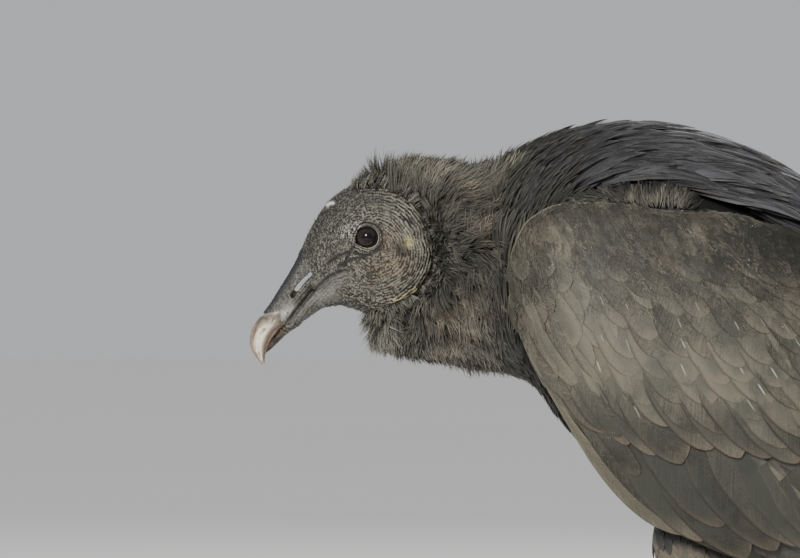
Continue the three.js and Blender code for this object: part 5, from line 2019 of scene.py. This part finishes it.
SKIN_PAINT = skin_paint()
EYE_PAINT = eye_paint()
HORN_PAINT = horn_paint()
CLAW_PAINT = claw_paint()
RUFF_PAINT = ruff_paint()
PLUME_PAINT = feather_paint("plumage", (0.018, 0.018, 0.018), (0.085, 0.080, 0.072), (0.13, 0.11, 0.09), 0.2)
MANTLE_PAINT = feather_paint(
    "mantle", (0.005, 0.005, 0.006), (0.074, 0.072, 0.078), (0.19, 0.175, 0.155), 0.34, worn=0.6, mottle=0.6,
    strands=0.8)
WING_PAINT = feather_paint(
    "wing", (0.021, 0.020, 0.0150), (0.140, 0.131, 0.097), (0.15, 0.120, 0.086), 0.35, mottle=0.54,
    zoned=0.44)
FLIGHT_PAINT = feather_paint(
    "flight", (0.026, 0.025, 0.023), (0.085, 0.080, 0.070), (0.14, 0.10, 0.075), 0.45, mottle=0.25)

coat_face, flesh, skin_face = body_fields()
coat_surface = coat_face.surface()

head = head_field()
head.soften(1)
head_points, head_quads = head.surface()
_, _, head_normals = arrays_of(mesh_of("head", head_points, head_quads))
head_points, _ = dress_head(head_points, head_normals)

foot_points, foot_quads = foot()
feet = [mesh_of("foot", on_foot(foot_points, side), foot_quads[:, ::side]) for _, side in SIDES]
skin_points, skin_triangles, skin_normals = joined([
    mesh_of("flesh", *flesh.surface()), mesh_of("head", head_points, head_quads), *feet,
])
_, masks = dress_head(skin_points, skin_normals)
x, y, z = skin_points.T
on_head = ease(4.0, -3.0, past_bare(skin_points) + 2 * noise(skin_points, 2.5, 30)) * ease(-125, -129, x)
over = under_mantle(to_drawing(skin_points))
masks = {n: v * on_head for n, v in masks.items()} | {
    "head": on_head,
    "beige": beige_at(skin_points) * ease(-84, -90, x),
    "leg": ease(104, 92, z),
    # painted shade: the flesh in the gap under the mantle's free edge is made near black
    "gap_shade": ease(-16, -6, over) * ease(60, 40, over) * ease(-60, -40, x) * ease(15, 25, np.abs(y)),
}
legs = [f"{kind}_{side_name}" for side_name, _ in SIDES for kind in
        ("tarsus", "thigh", "toe_middle", "toe_inner", "toe_outer", "toe_hind")]
place("skin", mesh_of("skin", skin_points, skin_triangles, masks=masks), SKIN_PAINT, "bare_skin",
      ("head", "neck", "trunk", *legs))

for side_name, side in SIDES:
    eye_piece(f"eye_{side_name}", side)
    claws(side_name, side)
horn_piece("upper_bill", HOOK, (0, 1), 0.12, 96, 140, hook_shape)
horn_piece("lower_bill", LOWER_BILL, (0.578, 1.0), -0.2, 64, 60, tip_shape)

sheet = Sheet()
shoulders = shoulder_tufts(sheet)
coat("ruff", [*ruff_tufts(coat_face, skin_face, coat_surface), *rim_tufts(skin_face),
              *streaks(coat_face, coat_surface), *shoulders, *map(other_side, shoulders),
              bristles(skin_points, skin_normals, masks)], RUFF_PAINT, "ruff")
outer = Field(*BODY_BOX)
outer.join(coat_face.values)
outer.join(outer.to_nodes([f"wing_coverts_{side_name}" for side_name, _ in SIDES], BODY_REACH), 14.0)
outer.soften(4)
coat("mantle", mantle(outer, outer.surface()), MANTLE_PAINT, "plumage")
coat("plumage", body_feathers(coat_face, coat_surface), PLUME_PAINT, "plumage")
for side_name, side in SIDES:
    for kind, parts, paint, slot in (
        ("wing_coverts", coverts(sheet), WING_PAINT, "wing_feathers"),
        ("secondaries", remiges(sheet, "secondaries"), FLIGHT_PAINT, "wing_feathers"),
        ("primaries", remiges(sheet, "primaries"), FLIGHT_PAINT, "flight_feathers"),
    ):
        parts = parts if side < 0 else [other_side(part) for part in parts]
        coat(f"{kind}_{side_name}", parts, paint, slot, (f"{kind}_{side_name}",))
coat("tail", tail_feathers(), FLIGHT_PAINT, "flight_feathers", ("tail",))


# ---------- floor and light ----------

FLOOR_REACH = 6000.0


def stage():
    floor_paint = Paint("floor", Roughness=0.85)
    shade = floor_paint.noise(floor_paint.place(), 2.0, 2)
    floor_paint.set(Base_Color=floor_paint.mix(shade, (0.80, 0.79, 0.77), (0.83, 0.82, 0.80)))
    corners = FLOOR_REACH * np.array([[-1, -1, 0], [1, -1, 0], [1, 1, 0], [-1, 1, 0]])
    mesh = mesh_of("floor", corners, np.array([[0, 1, 2, 3]]))
    mesh.materials.append(floor_paint.material)
    floor = bpy.data.objects.new("floor", mesh)
    bpy.context.scene.collection.objects.link(floor)
    world = bpy.data.worlds.new("studio")
    world.use_nodes = True
    background = world.node_tree.nodes["Background"]
    background.inputs["Color"].default_value = (0.80, 0.81, 0.83, 1)
    nodes, links = world.node_tree.nodes, world.node_tree.links
    way, parts, rise = (nodes.new(f"ShaderNode{kind}") for kind in ("TexCoord", "SeparateXYZ", "MapRange"))
    rise.interpolation_type = "SMOOTHSTEP"
    for socket, value in zip(range(1, 5), (0.0, 0.4, 0.63, 0.74)):
        rise.inputs[socket].default_value = value
    links.new(way.outputs["Generated"], parts.inputs[0])
    links.new(parts.outputs["Z"], rise.inputs[0])
    links.new(rise.outputs[0], background.inputs["Strength"])
    bpy.context.scene.world = world


def lamp(name, size, power, location, colour=(1, 1, 1)):
    data = bpy.data.lights.new(name, "AREA")
    data.shape = "DISK"
    data.size = size
    data.energy = power
    data.color = colour
    light = bpy.data.objects.new(name, data)
    light.location = location
    light.rotation_mode = "QUATERNION"
    light.rotation_quaternion = (LAMP_AIM - Vector(location)).to_track_quat("-Z", "Y")
    bpy.context.scene.collection.objects.link(light)


stage()
lamp("key", 0.8, 70, (-0.9, -2.2, 1.5), colour=(1.0, 0.975, 0.93))
lamp("back", 1.2, 25, (0.4, 1.9, 1.5))
